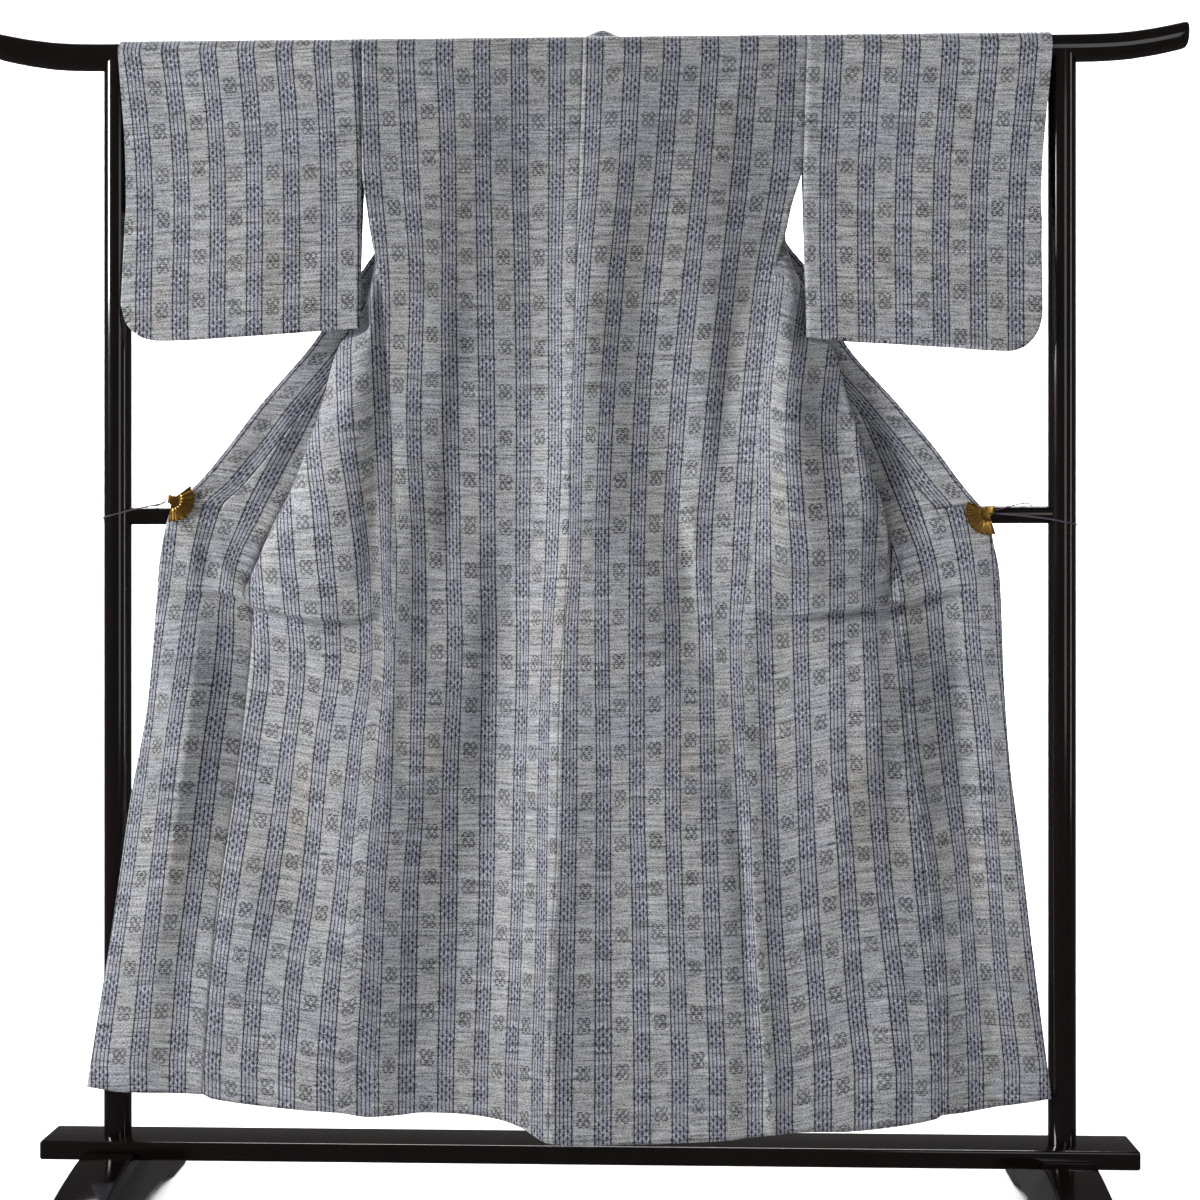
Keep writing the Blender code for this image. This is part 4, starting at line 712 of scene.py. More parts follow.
@dataclass
class ClothPiece:
    """One sewn piece: its patches, wall and finish."""

    name: str
    patches: list[Patch]
    flat: tuple[float, float]
    held: str
    rests_on: list[str]
    thickness: float = SHELL
    area: float | None = None

    def build(self, material: bpy.types.Material) -> bpy.types.Object:
        """Makes the piece as one smooth shell.

        Args:
            material: The woven silk.

        Returns:
            The finished object.
        """
        points: list[np.ndarray] = []
        faces: list[tuple[int, int, int, int]] = []
        across: list[float] = []
        along: list[float] = []
        base = 0
        for patch in self.patches:
            rows, columns = patch.points.shape[:2]
            points.append(patch.points.reshape(-1, 3))
            across.extend(patch.across.reshape(-1))
            along.extend(patch.along.reshape(-1))
            for r in range(rows - 1):
                for c in range(columns - 1):
                    k = base + r * columns + c
                    faces.append((k, k + 1, k + columns + 1, k + columns))
            base += rows * columns
        item = new_object(self.name, [tuple(point) for point in np.vstack(points)], faces)
        mesh = item.data
        layer = mesh.uv_layers.new(name="cloth")
        corners = np.empty(len(mesh.loops), dtype=np.int32)
        mesh.loops.foreach_get("vertex_index", corners)
        flat = np.column_stack([np.array(across)[corners], np.array(along)[corners]])
        layer.data.foreach_set("uv", flat.reshape(-1))
        weld(item)
        mesh.materials.append(material)
        mesh.shade_smooth()
        wall = item.modifiers.new("wall", "SOLIDIFY")
        wall.thickness = self.thickness
        wall.offset = 0.0
        wall.use_rim = True
        wall.use_quality_normals = True
        apply_modifiers(item)
        stand_in(item, self.name.replace("silk_", ""))
        return item


def new_object(name: str, points: list, faces: list) -> bpy.types.Object:
    """Makes an object from points and faces and puts it into the scene.

    Args:
        name: The name of the object and its mesh.
        points: Places in metres.
        faces: Point numbers of each face.

    Returns:
        The object.
    """
    mesh = bpy.data.meshes.new(name)
    mesh.from_pydata(points, [], faces)
    item = bpy.data.objects.new(name, mesh)
    bpy.context.collection.objects.link(item)
    return item


def weld(item: bpy.types.Object) -> None:
    """Joins the points that patches share and turns all faces the same way.

    Args:
        item: The object, changed in place.
    """
    work = bmesh.new()
    work.from_mesh(item.data)
    bmesh.ops.remove_doubles(work, verts=work.verts, dist=0.00005)
    bmesh.ops.dissolve_degenerate(work, edges=work.edges, dist=0.00001)
    bmesh.ops.recalc_face_normals(work, faces=work.faces)
    work.to_mesh(item.data)
    work.free()


def choose(item: bpy.types.Object) -> None:
    """Selects one object alone and makes it the active one."""
    start_shape()
    item.select_set(True)
    bpy.context.view_layer.objects.active = item


def apply_modifiers(item: bpy.types.Object) -> None:
    """Applies every modifier of an object."""
    choose(item)
    for name in [modifier.name for modifier in item.modifiers]:
        bpy.ops.object.modifier_apply(modifier=name)


def stand_in(item: bpy.types.Object, node: str) -> None:
    """Puts a piece on the root body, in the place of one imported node."""
    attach(item, "root")
    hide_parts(node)


# ---- the sewn pieces ----

def over_rail(x: np.ndarray, step: int) -> np.ndarray:
    """Lays one line of cloth over the rail.

    Args:
        x: Places across, in metres.
        step: Step of the turn, from 0 on the near side to ARC_STEPS on the far side.

    Returns:
        Points in metres.
    """
    angle = math.pi * (1 - step / ARC_STEPS)
    y, z = OVER_RAIL * math.cos(angle), RAIL_Z + OVER_RAIL * math.sin(angle)
    return np.column_stack([x, np.full_like(x, y), np.full_like(x, z)])


@dataclass
class Weave:
    """Where the striped bands lie on one panel."""

    bands: Curves             # height in mm, then the outward place of each band's middle in mm

    def place(self, outward: np.ndarray, z: np.ndarray) -> np.ndarray:
        """Works out where points lie across the striped cloth.

        Args:
            outward: Places counted outward, in metres.
            z: Heights in metres.

        Returns:
            Metres across the cloth, with a band's middle at each whole period.
        """
        count = self.bands.values.shape[1]
        across = np.zeros_like(z)
        for k in range(count - 1):
            low = self.bands.read(z / MM, k)
            high = self.bands.read(z / MM, k + 1)
            share = (outward / MM - low) / (high - low)
            across += np.clip(share, None if k == 0 else 0.0, None if k == count - 2 else 1.0)
        return across * BAND_PERIOD


@dataclass
class Garment:
    """The kimono: all its sewn pieces, from the tables of its two halves."""

    halves: tuple[Half, Half]
    creases: tuple[Crease, ...]
    weaves: dict[str, Weave]
    back: dict[str, np.ndarray] = field(default_factory=dict)
    front: dict[str, np.ndarray] = field(default_factory=dict)
    arc: dict[str, list[np.ndarray]] = field(default_factory=dict)

    def relief(self, points: np.ndarray, near: np.ndarray | float) -> np.ndarray:
        """Adds the creases and a faint unevenness to a surface.

        Args:
            points: Grid of points in metres.
            near: 1 where the surface faces the back of the garment, 0 where it faces away.

        Returns:
            The moved points.
        """
        x, z = points[..., 0] / MM, points[..., 2] / MM
        creased = sum(crease.height(x, z) for crease in self.creases)
        # Two sets of slow waves, about half a millimetre deep, that fade out under the rail.
        slow_x = np.sin(x / 31.0 + 1.3 * np.sin(z / 97.0))
        slow_z = np.sin(z / 118.0 + 0.9 * np.sin(x / 53.0))
        uneven = 0.55 * slow_x * slow_z
        uneven += 0.30 * np.sin(x / 13.7 + z / 71.0) * np.sin(z / 43.0 - x / 29.0)
        calm = np.clip((RAIL_Z / MM - 12.0 - z) / 60.0, 0.0, 1.0)
        moved = points.copy()
        out = uneven * (1 - near) - (creased + uneven) * near
        moved[..., 1] += out * calm * MM
        return moved

    def drawn_out(self, half: Half, part: Part, rows: np.ndarray) -> np.ndarray:
        """A front stretch of one half with its creases, rows by columns by 3, in metres."""
        points = half.surface(part, rows)
        return self.relief(points, self.facing(points[..., 2]))

    def facing(self, z: np.ndarray) -> np.ndarray:
        """1 on the fronts' drawn-out part, 0 on their hidden upper part, by height in metres."""
        t = np.clip((SIDE_TOP - z) / 0.060, 0.0, 1.0)
        return t * t * (3 - 2 * t)

    def lay_half(self, half: Half) -> None:
        """Lays the back and the front of one half, and the cloth over the rail.

        Args:
            half: The half, whose surfaces are kept under its name.
        """
        rows = fine_rows(0, RAIL_ROW)
        back = self.relief(half.surface(Part.BACK, rows), 1.0)
        front = self.drawn_out(half, Part.FRONT, rows)
        below = rows <= SIDE_ROW
        front[below, 0] = back[below, 0]
        self.back[half.name] = back
        self.front[half.name] = front
        arc = [back[-1]]
        for step in range(1, ARC_STEPS):
            last = BACK_COLUMNS if step <= ARC_STEPS // 2 else NECK_COLUMN
            column = np.arange(last + 1)
            near = back[-1][column, 0]
            far = front[-1][np.minimum(column, NECK_COLUMN), 0]
            share = np.where(column <= NECK_COLUMN, step / ARC_STEPS, 0.0)
            arc.append(over_rail(near + (far - near) * share, step))
        arc.append(front[-1])
        self.arc[half.name] = arc

    def body(self, half: Half) -> ClothPiece:
        """Back and front of one half, cut as one length over the shoulder.

        Args:
            half: The half, already laid.

        Returns:
            The body piece.
        """
        rows = fine_rows(0, RAIL_ROW)
        weave_back = self.weaves["back_" + half.name]
        weave_front = self.weaves["front_" + half.name]
        back, front = self.back[half.name], self.front[half.name]
        arc = self.arc[half.name]
        middle = ARC_STEPS // 2
        across_back = weave_back.place(back[..., 0] * half.sign, back[..., 2])
        along_back = path_length(back, 0)
        along_back -= along_back[-1:]
        lower = Patch(back.copy(), across_back, along_back)
        over = np.array(arc[:middle + 1])
        over_across = np.broadcast_to(across_back[-1], over.shape[:2]).copy()
        over_along = path_length(over, 0)
        upper_near = Patch(over, over_across, over_along)
        behind = np.array([line[:NECK_COLUMN + 1] for line in arc[middle:]])
        behind_across = np.broadcast_to(over_across[-1, :NECK_COLUMN + 1], behind.shape[:2]).copy()
        start = over_along[-1, :NECK_COLUMN + 1]
        behind_along = path_length(behind, 0) + start
        upper_far = Patch(behind, behind_across, behind_along, Layer.FAR)
        widths = np.cumsum(np.abs(np.diff(front[..., 0])), axis=1)
        run = np.concatenate([np.zeros((len(rows), 1)), widths], axis=1)
        low_across = weave_front.place(front[:, :1, 0] * half.sign + run, front[..., 2])
        high_across = across_back[-1, :NECK_COLUMN + 1][None, :] * np.ones((len(rows), 1))
        blend = self.facing(front[..., 2] - 0.045)
        across_front = low_across * blend + high_across * (1 - blend)
        down = path_length(front[::-1], 0)[::-1]
        high_along = behind_along[-1][None, :] + down
        low_along = from_tuck(front, rows)
        low_along += high_along[int(np.searchsorted(rows, SIDE_ROW))].mean() + FRONT_SHIFT
        along_front = low_along * blend + high_along * (1 - blend)
        lower_front = Patch(front.copy(), across_front, along_front, Layer.FAR)
        patches = [lower, upper_near, upper_far, lower_front]
        for patch in patches:
            patch.sink_edge("last_column")
        self.sink_armhole(lower, lower_front, rows)
        rests_on = ["top_rail", f"clip_{half.name}"]
        return ClothPiece(f"silk_body_{half.name}", patches, (0.32, 3.09), "hung", rests_on)

    def sink_armhole(self, back: Patch, front: Patch, rows: np.ndarray) -> None:
        """Presses in the armhole seam and the side seam.

        Args:
            back: The back below the rail.
            front: The front below the rail.
            rows: Their row places.
        """
        foot = int(np.searchsorted(rows, FOOT_ROW))
        side = int(np.searchsorted(rows, SIDE_ROW))
        back.points[foot:, 0, 1] += ARMHOLE_GROOVE
        front.points[foot:, 0, 1] -= ARMHOLE_GROOVE
        groove = np.minimum(1.0, (SIDE_ROW - rows[:side + 1]) / 0.5) * SIDE_GROOVE
        back.points[:side + 1, 0, 1] += groove
        front.points[:side + 1, 0, 1] += groove

    def overlap(self, half: Half) -> ClothPiece:
        """The overlap panel: full width below the collar's end, a pointed gusset above it.

        Args:
            half: The half, already laid.

        Returns:
            The overlap piece.
        """
        weave = self.weaves["okumi_" + half.name]
        rows = fine_rows(0, TIP_ROW)
        side = int(np.searchsorted(rows, SIDE_ROW))
        gusset = self.drawn_out(half, Part.GUSSET, np.minimum(rows, SIDE_ROW))
        front = self.front[half.name]
        seam = front[:len(rows), -1]
        wide = gusset[side] - gusset[side][:1]
        for k in range(side + 1, len(rows)):
            gusset[k] = seam[k] + wide * (TIP_ROW - rows[k])
        gusset[:side + 1, 0] = seam[:side + 1]
        place = weave.place(gusset[..., 0] * half.sign, gusset[..., 2])
        inner = Patch(gusset, place, from_tuck(gusset, rows) + OVERLAP_SHIFT)
        low = fine_rows(0, COLLAR_ROW)
        band = self.drawn_out(half, Part.BAND, low)
        band[:, 0] = gusset[:len(low), -1]
        place_band = weave.place(band[..., 0] * half.sign, band[..., 2])
        outer = Patch(band, place_band, from_tuck(band, low) + OVERLAP_SHIFT)
        inner.sink_edge("first_column")
        outer.sink_edge("last_row")
        return ClothPiece(
            f"silk_okumi_{half.name}", [inner, outer], (0.165, 1.25), "hung",
            [f"silk_body_{half.name}", f"clip_{half.name}"], area=0.155,
        )

    def collar_side(self, half: Half) -> list[np.ndarray]:
        """The collar's rows of one half, from its lower end up to beside the middle.

        Args:
            half: The half, already laid.

        Returns:
            Rows of points in metres, each across the collar.
        """
        rows = fine_rows(COLLAR_ROW, RAIL_ROW)
        band = self.drawn_out(half, Part.BAND, rows)
        all_rows = fine_rows(0, RAIL_ROW)
        first = int(np.searchsorted(all_rows, COLLAR_ROW))
        front = self.front[half.name][first:, -1]
        gusset = self.drawn_out(half, Part.GUSSET, np.minimum(rows, SIDE_ROW))
        side = int(np.searchsorted(rows, SIDE_ROW))
        seam = front.copy()
        seam[:side + 1] = gusset[:side + 1, -1]
        tip = int(np.searchsorted(rows, TIP_ROW))
        wide = gusset[side, -1] - gusset[side, 0]
        for k in range(side + 1, tip):
            seam[k] = front[k] + wide * (TIP_ROW - rows[k])
        fade = (1 - np.arange(band.shape[1]) / BAND_COLUMNS)[None, :, None]
        band += (seam - band[:, 0])[:, None, :] * fade
        up = [band[k] for k in range(len(rows))]
        top = up[-1]
        arc = self.arc[half.name]
        middle = ARC_STEPS // 2
        corner = self.neck_line(1.0, arc[middle][NECK_COLUMN], 0.0)
        for step in range(ARC_STEPS - 1, middle, -1):
            share = (step - middle) / middle
            line = corner + (top - corner) * share
            shift = arc[step][NECK_COLUMN] - line[0]
            up.append(line + shift[None, :] * np.linspace(1.0, 0.0, len(line))[:, None] ** 2)
        up.append(corner)
        for column in range(NECK_COLUMN + 1, BACK_COLUMNS):
            seam_point = arc[middle][column]
            share = (BACK_COLUMNS - column) / (BACK_COLUMNS - NECK_COLUMN)
            up.append(self.neck_line(share, seam_point, collar_rise(seam_point[0])))
        return up

    def neck_line(self, share: float, seam: np.ndarray, lift: float) -> np.ndarray:
        """The collar's points across its width round the neck.

        Args:
            share: 0 at the middle of the back, 1 at the neck's corner.
            seam: The point where the collar is sewn.
            lift: How far it stands up there, in mm.

        Returns:
            Points in metres.
        """
        stations = [seam]
        for k in range(3):
            y = float(NECK_CURVE.read(share, 2 * k))
            z = float(NECK_CURVE.read(share, 2 * k + 1)) + lift * (1 - k / 3)
            stations.append(np.array([seam[0] * (1 - 0.05 * (k + 1) * share), y * MM, z * MM]))
        stretches = tuple((k, k + 1, COLUMN_SPLIT) for k in range(3))
        return spread(np.array(stations), stretches)

    def collar(self) -> ClothPiece:
        """One strip from clip to clip round the neck."""
        left, right = (self.collar_side(half) for half in self.halves)
        centre_point = self.arc[self.halves[0].name][ARC_STEPS // 2][BACK_COLUMNS]
        centre = self.neck_line(0.0, centre_point, collar_rise(centre_point[0]))
        strip = np.array(left + [centre] + right[::-1])
        width = path_length(strip, 1)
        across = width * (0.062 / np.maximum(width[:, -1:], 1e-6))
        along = path_length(strip, 0)[:, :1] + np.zeros_like(width)
        patch = Patch(strip, across - COLLAR_BAND * MM, along)
        patch.sink_edge("first_column", 0.0004)
        return ClothPiece(
            "silk_collar", [patch], (0.064, 2.06), "folded", ["top_rail", "clip_left", "clip_right"],
            thickness=COLLAR_SHELL,
        )


def collar_rise(x: float) -> float:
    """How far the collar stands up over the rail, in mm.

    Args:
        x: Place across, in metres.

    Returns:
        The rise in mm.
    """
    middle, half_width, height = COLLAR_BUMP
    return height * math.exp(-((x / MM - middle) / half_width) ** 2)


@dataclass
class Sleeve:
    """One sleeve: near layer, fold over the rail, far layer and the closed hem and outer edge."""

    half: Half
    table: Curves
    hem: Curves               # x and height, inner to outer edge, in mm
    furi: Curves
    first_band: Curves        # height, distance of the first band from the inner edge, in mm
    rise: float               # how much the weft rises outward
    billow: float = -3.0
    columns: int = 60

    def share(self) -> np.ndarray:
        """Places of the columns across the sleeve, closer together at the rounded corner."""
        column = np.arange(self.columns + 1) * 12 / self.columns
        turn = np.clip((column - 8) / 4, 0.0, 1.0)
        return np.where(column <= 8, 0.86 * column / 8, 1 - 0.14 * (1 - np.sin(turn * np.pi / 2)))

    def layer(self, garment: Garment, far: bool) -> np.ndarray:
        """One layer from the rail down to the hem.

        Args:
            garment: The garment that it is sewn to.
            far: True for the layer that faces away.

        Returns:
            Points in metres, first row at the rail.
        """
        share = self.share()
        sign = self.half.sign
        body = (garment.front if far else garment.back)[self.half.name]
        rows = fine_rows(0, RAIL_ROW)
        foot = int(np.searchsorted(rows, FOOT_ROW))
        upper = []
        for inner in body[foot:, 0][::-1]:
            z = inner[2] / MM
            outer = float(self.table.read(z, 3 if far else 0)) * MM * sign
            y = float(self.table.read(z, 2 if far else 1)) * MM
            ease = np.minimum(1.0, share * 4)
            ease = ease * ease * (3 - 2 * ease)
            upper.append(np.column_stack([
                inner[0] + (outer - inner[0]) * share, inner[1] + (y - inner[1]) * ease,
                np.full_like(share, inner[2]),
            ]))
        lower = []
        start = upper[-1]
        inner_end, outer_end = self.hem.at[0], self.hem.at[-1]
        lowest = self.hem.read(inner_end + (outer_end - inner_end) * share)
        steps = 44
        for k in range(1, steps + 1):
            part = k / steps
            z = ARMHOLE_FOOT / MM + (lowest - ARMHOLE_FOOT / MM) * part
            inner = self.furi.read(z)
            outer = self.table.read(z, 3 if far else 0)
            y = self.table.read(z, 2 if far else 1)
            if not far:
                y = y + self.billow * np.sin(np.pi * share)
            early = min(1.0, part * 8)
            line = np.column_stack([(inner + (outer - inner) * share) * sign, y, z]) * MM
            line[:, 1] = start[:, 1] * (1 - early) + line[:, 1] * early
            lower.append(line)
        return np.array(upper + lower)

    def build(self, garment: Garment) -> ClothPiece:
        """Lays the sleeve's patches.

        Args:
            garment: The garment that it is sewn to.

        Returns:
            The sleeve.
        """
        near = garment.relief(self.layer(garment, False), 1.0)
        far = garment.relief(self.layer(garment, True), 0.0)
        body_rows = fine_rows(0, RAIL_ROW)
        foot = int(np.searchsorted(body_rows, FOOT_ROW))
        count = len(body_rows) - foot
        near[:count, 0] = garment.back[self.half.name][foot:, 0][::-1]
        far[:count, 0] = garment.front[self.half.name][foot:, 0][::-1]
        arc = [near[0]]
        for step in range(1, ARC_STEPS):
            arc.append(over_rail(near[0][:, 0] + (far[0][:, 0] - near[0][:, 0]) * step / ARC_STEPS, step))
        arc.append(far[0])
        over = np.array(arc)
        width = abs(near[0, -1, 0] - near[0, 0, 0])
        share = self.share()[None, :]
        across = share * width - self.first_band.read(near[..., 2] / MM) * MM
        along_near = path_length(near, 0) * -1.0 + self.rise * share * width
        across_far = share * width - self.first_band.read(RAIL_Z / MM) * MM
        across_far = np.broadcast_to(across_far, far.shape[:2]).copy()
        over_along = path_length(over, 0) + self.rise * share * width
        along_far = path_length(far, 0) + over_along[-1:]
        patches = [
            Patch(near, across, along_near),
            Patch(over, np.broadcast_to(across[:1], over.shape[:2]).copy(), over_along),
            Patch(far, across_far, along_far, Layer.FAR),
            self.closing(near, far, across, along_near),
        ]
        for patch in patches[:3]:
            self.free_from_body(patch, count)
        return ClothPiece(
            f"silk_sleeve_{self.half.name}", patches, (round(float(width), 3), 0.90), "hung", ["top_rail"],
        )

    def free_from_body(self, patch: Patch, count: int) -> None:
        """Sets the sewn edge of the sleeve back a little at the armhole.

        Args:
            patch: The near layer, the far layer or the turn over the rail.
            count: Its rows that are sewn to the body.
        """
        over_the_rail = patch.points.shape[0] == ARC_STEPS + 1
        if not over_the_rail:
            patch.points[:count, 0, 1] += SEAM_DEPTH if patch.layer is Layer.NEAR else -SEAM_DEPTH
        patch.points[:, 0, 0] += self.half.sign * SEAM_GAP

    def closing(self, near: np.ndarray, far: np.ndarray, across: np.ndarray, along: np.ndarray) -> Patch:
        """The closed outer edge below the cuff and the hem, as one rounded rim.

        Args:
            near: The near layer.
            far: The far layer.
            across: The near layer's places across the cloth.
            along: Its places along the cloth.

        Returns:
            The rim, from the near layer to the far one.
        """
        first = int(np.argmax(near[:, -1, 2] <= CUFF_FOOT))
        index = [(k, near.shape[1] - 1) for k in range(first, near.shape[0])]
        index += [(near.shape[0] - 1, c) for c in range(near.shape[1] - 2, -1, -1)]
        edge_near = np.array([near[k] for k in index])
        edge_far = np.array([far[k] for k in index])
        middle = (edge_near + edge_far) / 2
        run = np.gradient(middle, axis=0)
        normal = np.column_stack([run[:, 2], np.zeros(len(run)), -run[:, 0]])
        normal /= np.maximum(np.linalg.norm(normal, axis=1, keepdims=True), 1e-9)
        heart = middle.mean(axis=0)
        if np.mean(((middle - heart) * normal).sum(axis=1)) < 0:
            normal = -normal
        rows = []
        for k in range(7):
            angle = math.pi * k / 6
            bulge = 0.0030 * math.sin(angle) * np.clip(np.arange(len(index)) / 4.0, 0.0, 1.0)
            share = (1 - math.cos(angle)) / 2
            rows.append(edge_near + (edge_far - edge_near) * share + normal * bulge[:, None])
        grid = np.array(rows)
        u = np.array([across[k] for k in index])
        v = np.array([along[k] for k in index])
        shape = grid.shape[:2]
        return Patch(grid, np.broadcast_to(u, shape).copy(), np.broadcast_to(v, shape).copy())


# ---- modelling helpers ----

def start_shape() -> None:
    """Leaves edit mode and deselects everything."""
    if bpy.context.object is not None and bpy.context.object.mode != "OBJECT":
        bpy.ops.object.mode_set(mode="OBJECT")
    bpy.ops.object.select_all(action="DESELECT")


@contextmanager
def edit_mode() -> Iterator[None]:
    """Edit mode with the whole mesh selected, for the lines under it."""
    bpy.ops.object.mode_set(mode="EDIT")
    bpy.ops.mesh.select_all(action="SELECT")
    yield
    bpy.ops.object.mode_set(mode="OBJECT")


def settle(item: bpy.types.Object, name: str, material: bpy.types.Material) -> bpy.types.Object:
    """Names a finished shape, puts its place into its mesh and gives it its finish.

    Args:
        item: The shape.
        name: Its name.
        material: Its finish.

    Returns:
        The same object.
    """
    choose(item)
    bpy.ops.object.transform_apply(location=True, rotation=True, scale=True)
    item.name = name
    item.data.name = name
    item.data.materials.clear()
    item.data.materials.append(material)
    return item


def select_faces(item: bpy.types.Object, wanted: Callable[[bmesh.types.BMFace], bool]) -> None:
    """Selects faces of an object in edit mode by a test.

    Args:
        item: The object in edit mode.
        wanted: Takes a face, gives True if it is wanted.
    """
    bpy.ops.mesh.select_mode(type="FACE")
    bpy.ops.mesh.select_all(action="DESELECT")
    work = bmesh.from_edit_mesh(item.data)
    for face in work.faces:
        face.select_set(bool(wanted(face)))
    bmesh.update_edit_mesh(item.data)


def round_bar(name: str, radius: float, ends: tuple[Vector, Vector], sides: int = 96) -> bpy.types.Object:
    """A round bar between two points.

    Args:
        name: The object's name.
        radius: Its radius.
        ends: The middle of each end.
        sides: Points round it.

    Returns:
        The bar, still with its place on the object.
    """
    start_shape()
    run = ends[1] - ends[0]
    bpy.ops.mesh.primitive_cylinder_add(
        vertices=sides, radius=radius, depth=run.length, location=(ends[0] + ends[1]) / 2,
        rotation=run.to_track_quat("Z", "Y").to_euler(),
    )
    item = bpy.context.object
    item.name = name
    return item


def smooth_by_angle(item: bpy.types.Object, degrees: float = 35.0) -> None:
    """Shades an object smooth but for its sharp edges."""
    choose(item)
    bpy.ops.object.shade_smooth_by_angle(angle=math.radians(degrees))


def round_edges(item: bpy.types.Object, width: float, segments: int, degrees: float) -> None:
    """Rounds an object's edges.

    Args:
        item: The object.
        width: Width of the rounding.
        segments: Its steps.
        degrees: Edges that turn less than this stay as they are.
    """
    bevel = item.modifiers.new("round", "BEVEL")
    bevel.width = width
    bevel.segments = segments
    bevel.limit_method = "ANGLE"
    bevel.angle_limit = math.radians(degrees)
    apply_modifiers(item)


# ---- the stand ----

@dataclass
class Stand:
    """The lacquered stand: two feet, two posts, bottom, middle and top rails."""

    lacquer: bpy.types.Material
    post_radius: float = 0.0195
    post_x: float = 0.675
    rail_radius: float = 0.020
    mid_radius: float = 0.0125
    mid_z: float = 1.004
    sill: tuple[float, float, float] = (1.552, 0.084, 0.027)
    sill_z: float = 0.087
    foot_width: float = 0.074

    def build(self) -> list[bpy.types.Object]:
        """Makes every wooden piece.

        Returns:
            The pieces.
        """
        pieces = [self.top_rail(), self.middle_rail(), self.bottom_rail()]
        for name, sign in (("left", -1), ("right", 1)):
            pieces.append(self.post(name, sign * self.post_x))
            pieces.append(self.foot(name, sign * self.post_x))
        for piece in pieces:
            stand_in(piece, piece.name.replace("lacquered_", ""))
        return pieces

    def top_rail(self) -> bpy.types.Object:
        """Round rail whose ends sweep up and are rounded off."""
        item = round_bar("rail", self.rail_radius, (Vector((-0.85, 0, RAIL_Z)), Vector((0.85, 0, RAIL_Z))))
        settle(item, "lacquered_top_rail", self.lacquer)
        cuts = [x * MM for x, _, _ in RAIL_TABLE[1:-1]] + [x * MM for x in RAIL_EXTRA_CUTS]
        for x in [sign * x for sign in (-1, 1) for x in cuts]:
            with edit_mode():
                bpy.ops.mesh.bisect(plane_co=(x, 0, 0), plane_no=(1, 0, 0))
        for vertex in item.data.vertices:
            x = abs(vertex.co.x) / MM
            rise, factor = float(RAIL_CURVE.read(x, 0)), float(RAIL_CURVE.read(x, 1))
            vertex.co.y *= factor
            vertex.co.z = RAIL_Z + (vertex.co.z - RAIL_Z) * factor + rise * MM
        round_edges(item, 0.0012, 3, 50.0)
        smooth_by_angle(item)
        return item

    def post(self, name: str, x: float) -> bpy.types.Object:
        """Round post, hollowed at its top to carry the rail.

        Args:
            name: left or right.
            x: Its place across.

        Returns:
            The post.
        """
        low = self.sill_z + self.sill[2] + WOOD_GAP
        item = round_bar("post", self.post_radius, (Vector((x, 0, low)), Vector((x, 0, RAIL_Z - 0.004))))
        settle(item, f"lacquered_post_{name}", self.lacquer)
        with edit_mode():
            select_faces(item, lambda face: face.normal.z > 0.9)
            bpy.ops.mesh.inset(thickness=0.002, use_even_offset=True)
        seat = self.rail_radius + WOOD_GAP
        for vertex in item.data.vertices:
            if vertex.co.z > RAIL_Z - 0.01:
                vertex.co.z = RAIL_Z - math.sqrt(max(seat ** 2 - vertex.co.y ** 2, 0.0))
        smooth_by_angle(item)
        return item

    def middle_rail(self) -> bpy.types.Object:
        """Thin round rail, its ends hollowed to the posts."""
        end = Vector((self.post_x - 0.012, 0, self.mid_z))
        item = round_bar("rail", self.mid_radius, (Vector((-end.x, 0, end.z)), end))
        settle(item, "lacquered_mid_rail", self.lacquer)
        seat = self.post_radius + WOOD_GAP
        for vertex in item.data.vertices:
            reach = self.post_x - math.sqrt(max(seat ** 2 - vertex.co.y ** 2, 0.0))
            vertex.co.x = math.copysign(reach, vertex.co.x)
        smooth_by_angle(item)
        return item

    def bottom_rail(self) -> bpy.types.Object:
        """Flat bottom rail with rounded edges."""
        start_shape()
        length, depth, height = self.sill
        bpy.ops.mesh.primitive_cube_add(size=1.0, location=(0, 0, self.sill_z + height / 2))
        item = bpy.context.object
        item.scale = (length, depth, height)
        settle(item, "lacquered_bottom_rail", self.lacquer)
        with edit_mode():
            bpy.ops.mesh.bevel(offset=0.004, segments=5, affect="EDGES", profile=0.5)
        smooth_by_angle(item)
        return item

    def outline(self) -> list[tuple[float, float]]:
        """The foot's outline seen from the side, as y and z in metres."""
        depth = self.sill[1] / 2 + WOOD_GAP
        top = [(y * MM, z * MM) for y, z in FOOT_TOP]
        curve = spread(np.array(top), ((0, 7, 28),))
        half = [(depth, self.sill_z - WOOD_GAP), (depth, FOOT_TOP[0][1] * MM)]
        half += [(float(y), float(z)) for y, z in curve[1:]]
        under = [(y * MM, z * MM) for y, z in FOOT_UNDER]
        line = half + under
        return line + [(-y, z) for y, z in reversed(under)] + [(-y, z) for y, z in reversed(half)]

    def foot(self, name: str, x: float) -> bpy.types.Object:
        """Arched foot running front to back, notched for the bottom rail.

        Args:
            name: left or right.
            x: Its place across.

        Returns:
            The foot.
        """
        outline = self.outline()
        points = [(x - self.foot_width / 2, y, z) for y, z in outline]
        item = new_object("foot", points, [tuple(range(len(points)))])
        choose(item)
        with edit_mode():
            bpy.ops.mesh.extrude_region_move(TRANSFORM_OT_translate={"value": (self.foot_width, 0, 0)})
            bpy.ops.mesh.select_all(action="SELECT")
            bpy.ops.mesh.normals_make_consistent(inside=False)
        settle(item, f"lacquered_foot_{name}", self.lacquer)
        round_edges(item, 0.003, 4, 60.0)
        smooth_by_angle(item, 30.0)
        return item


# ---- the clips and their cords ----

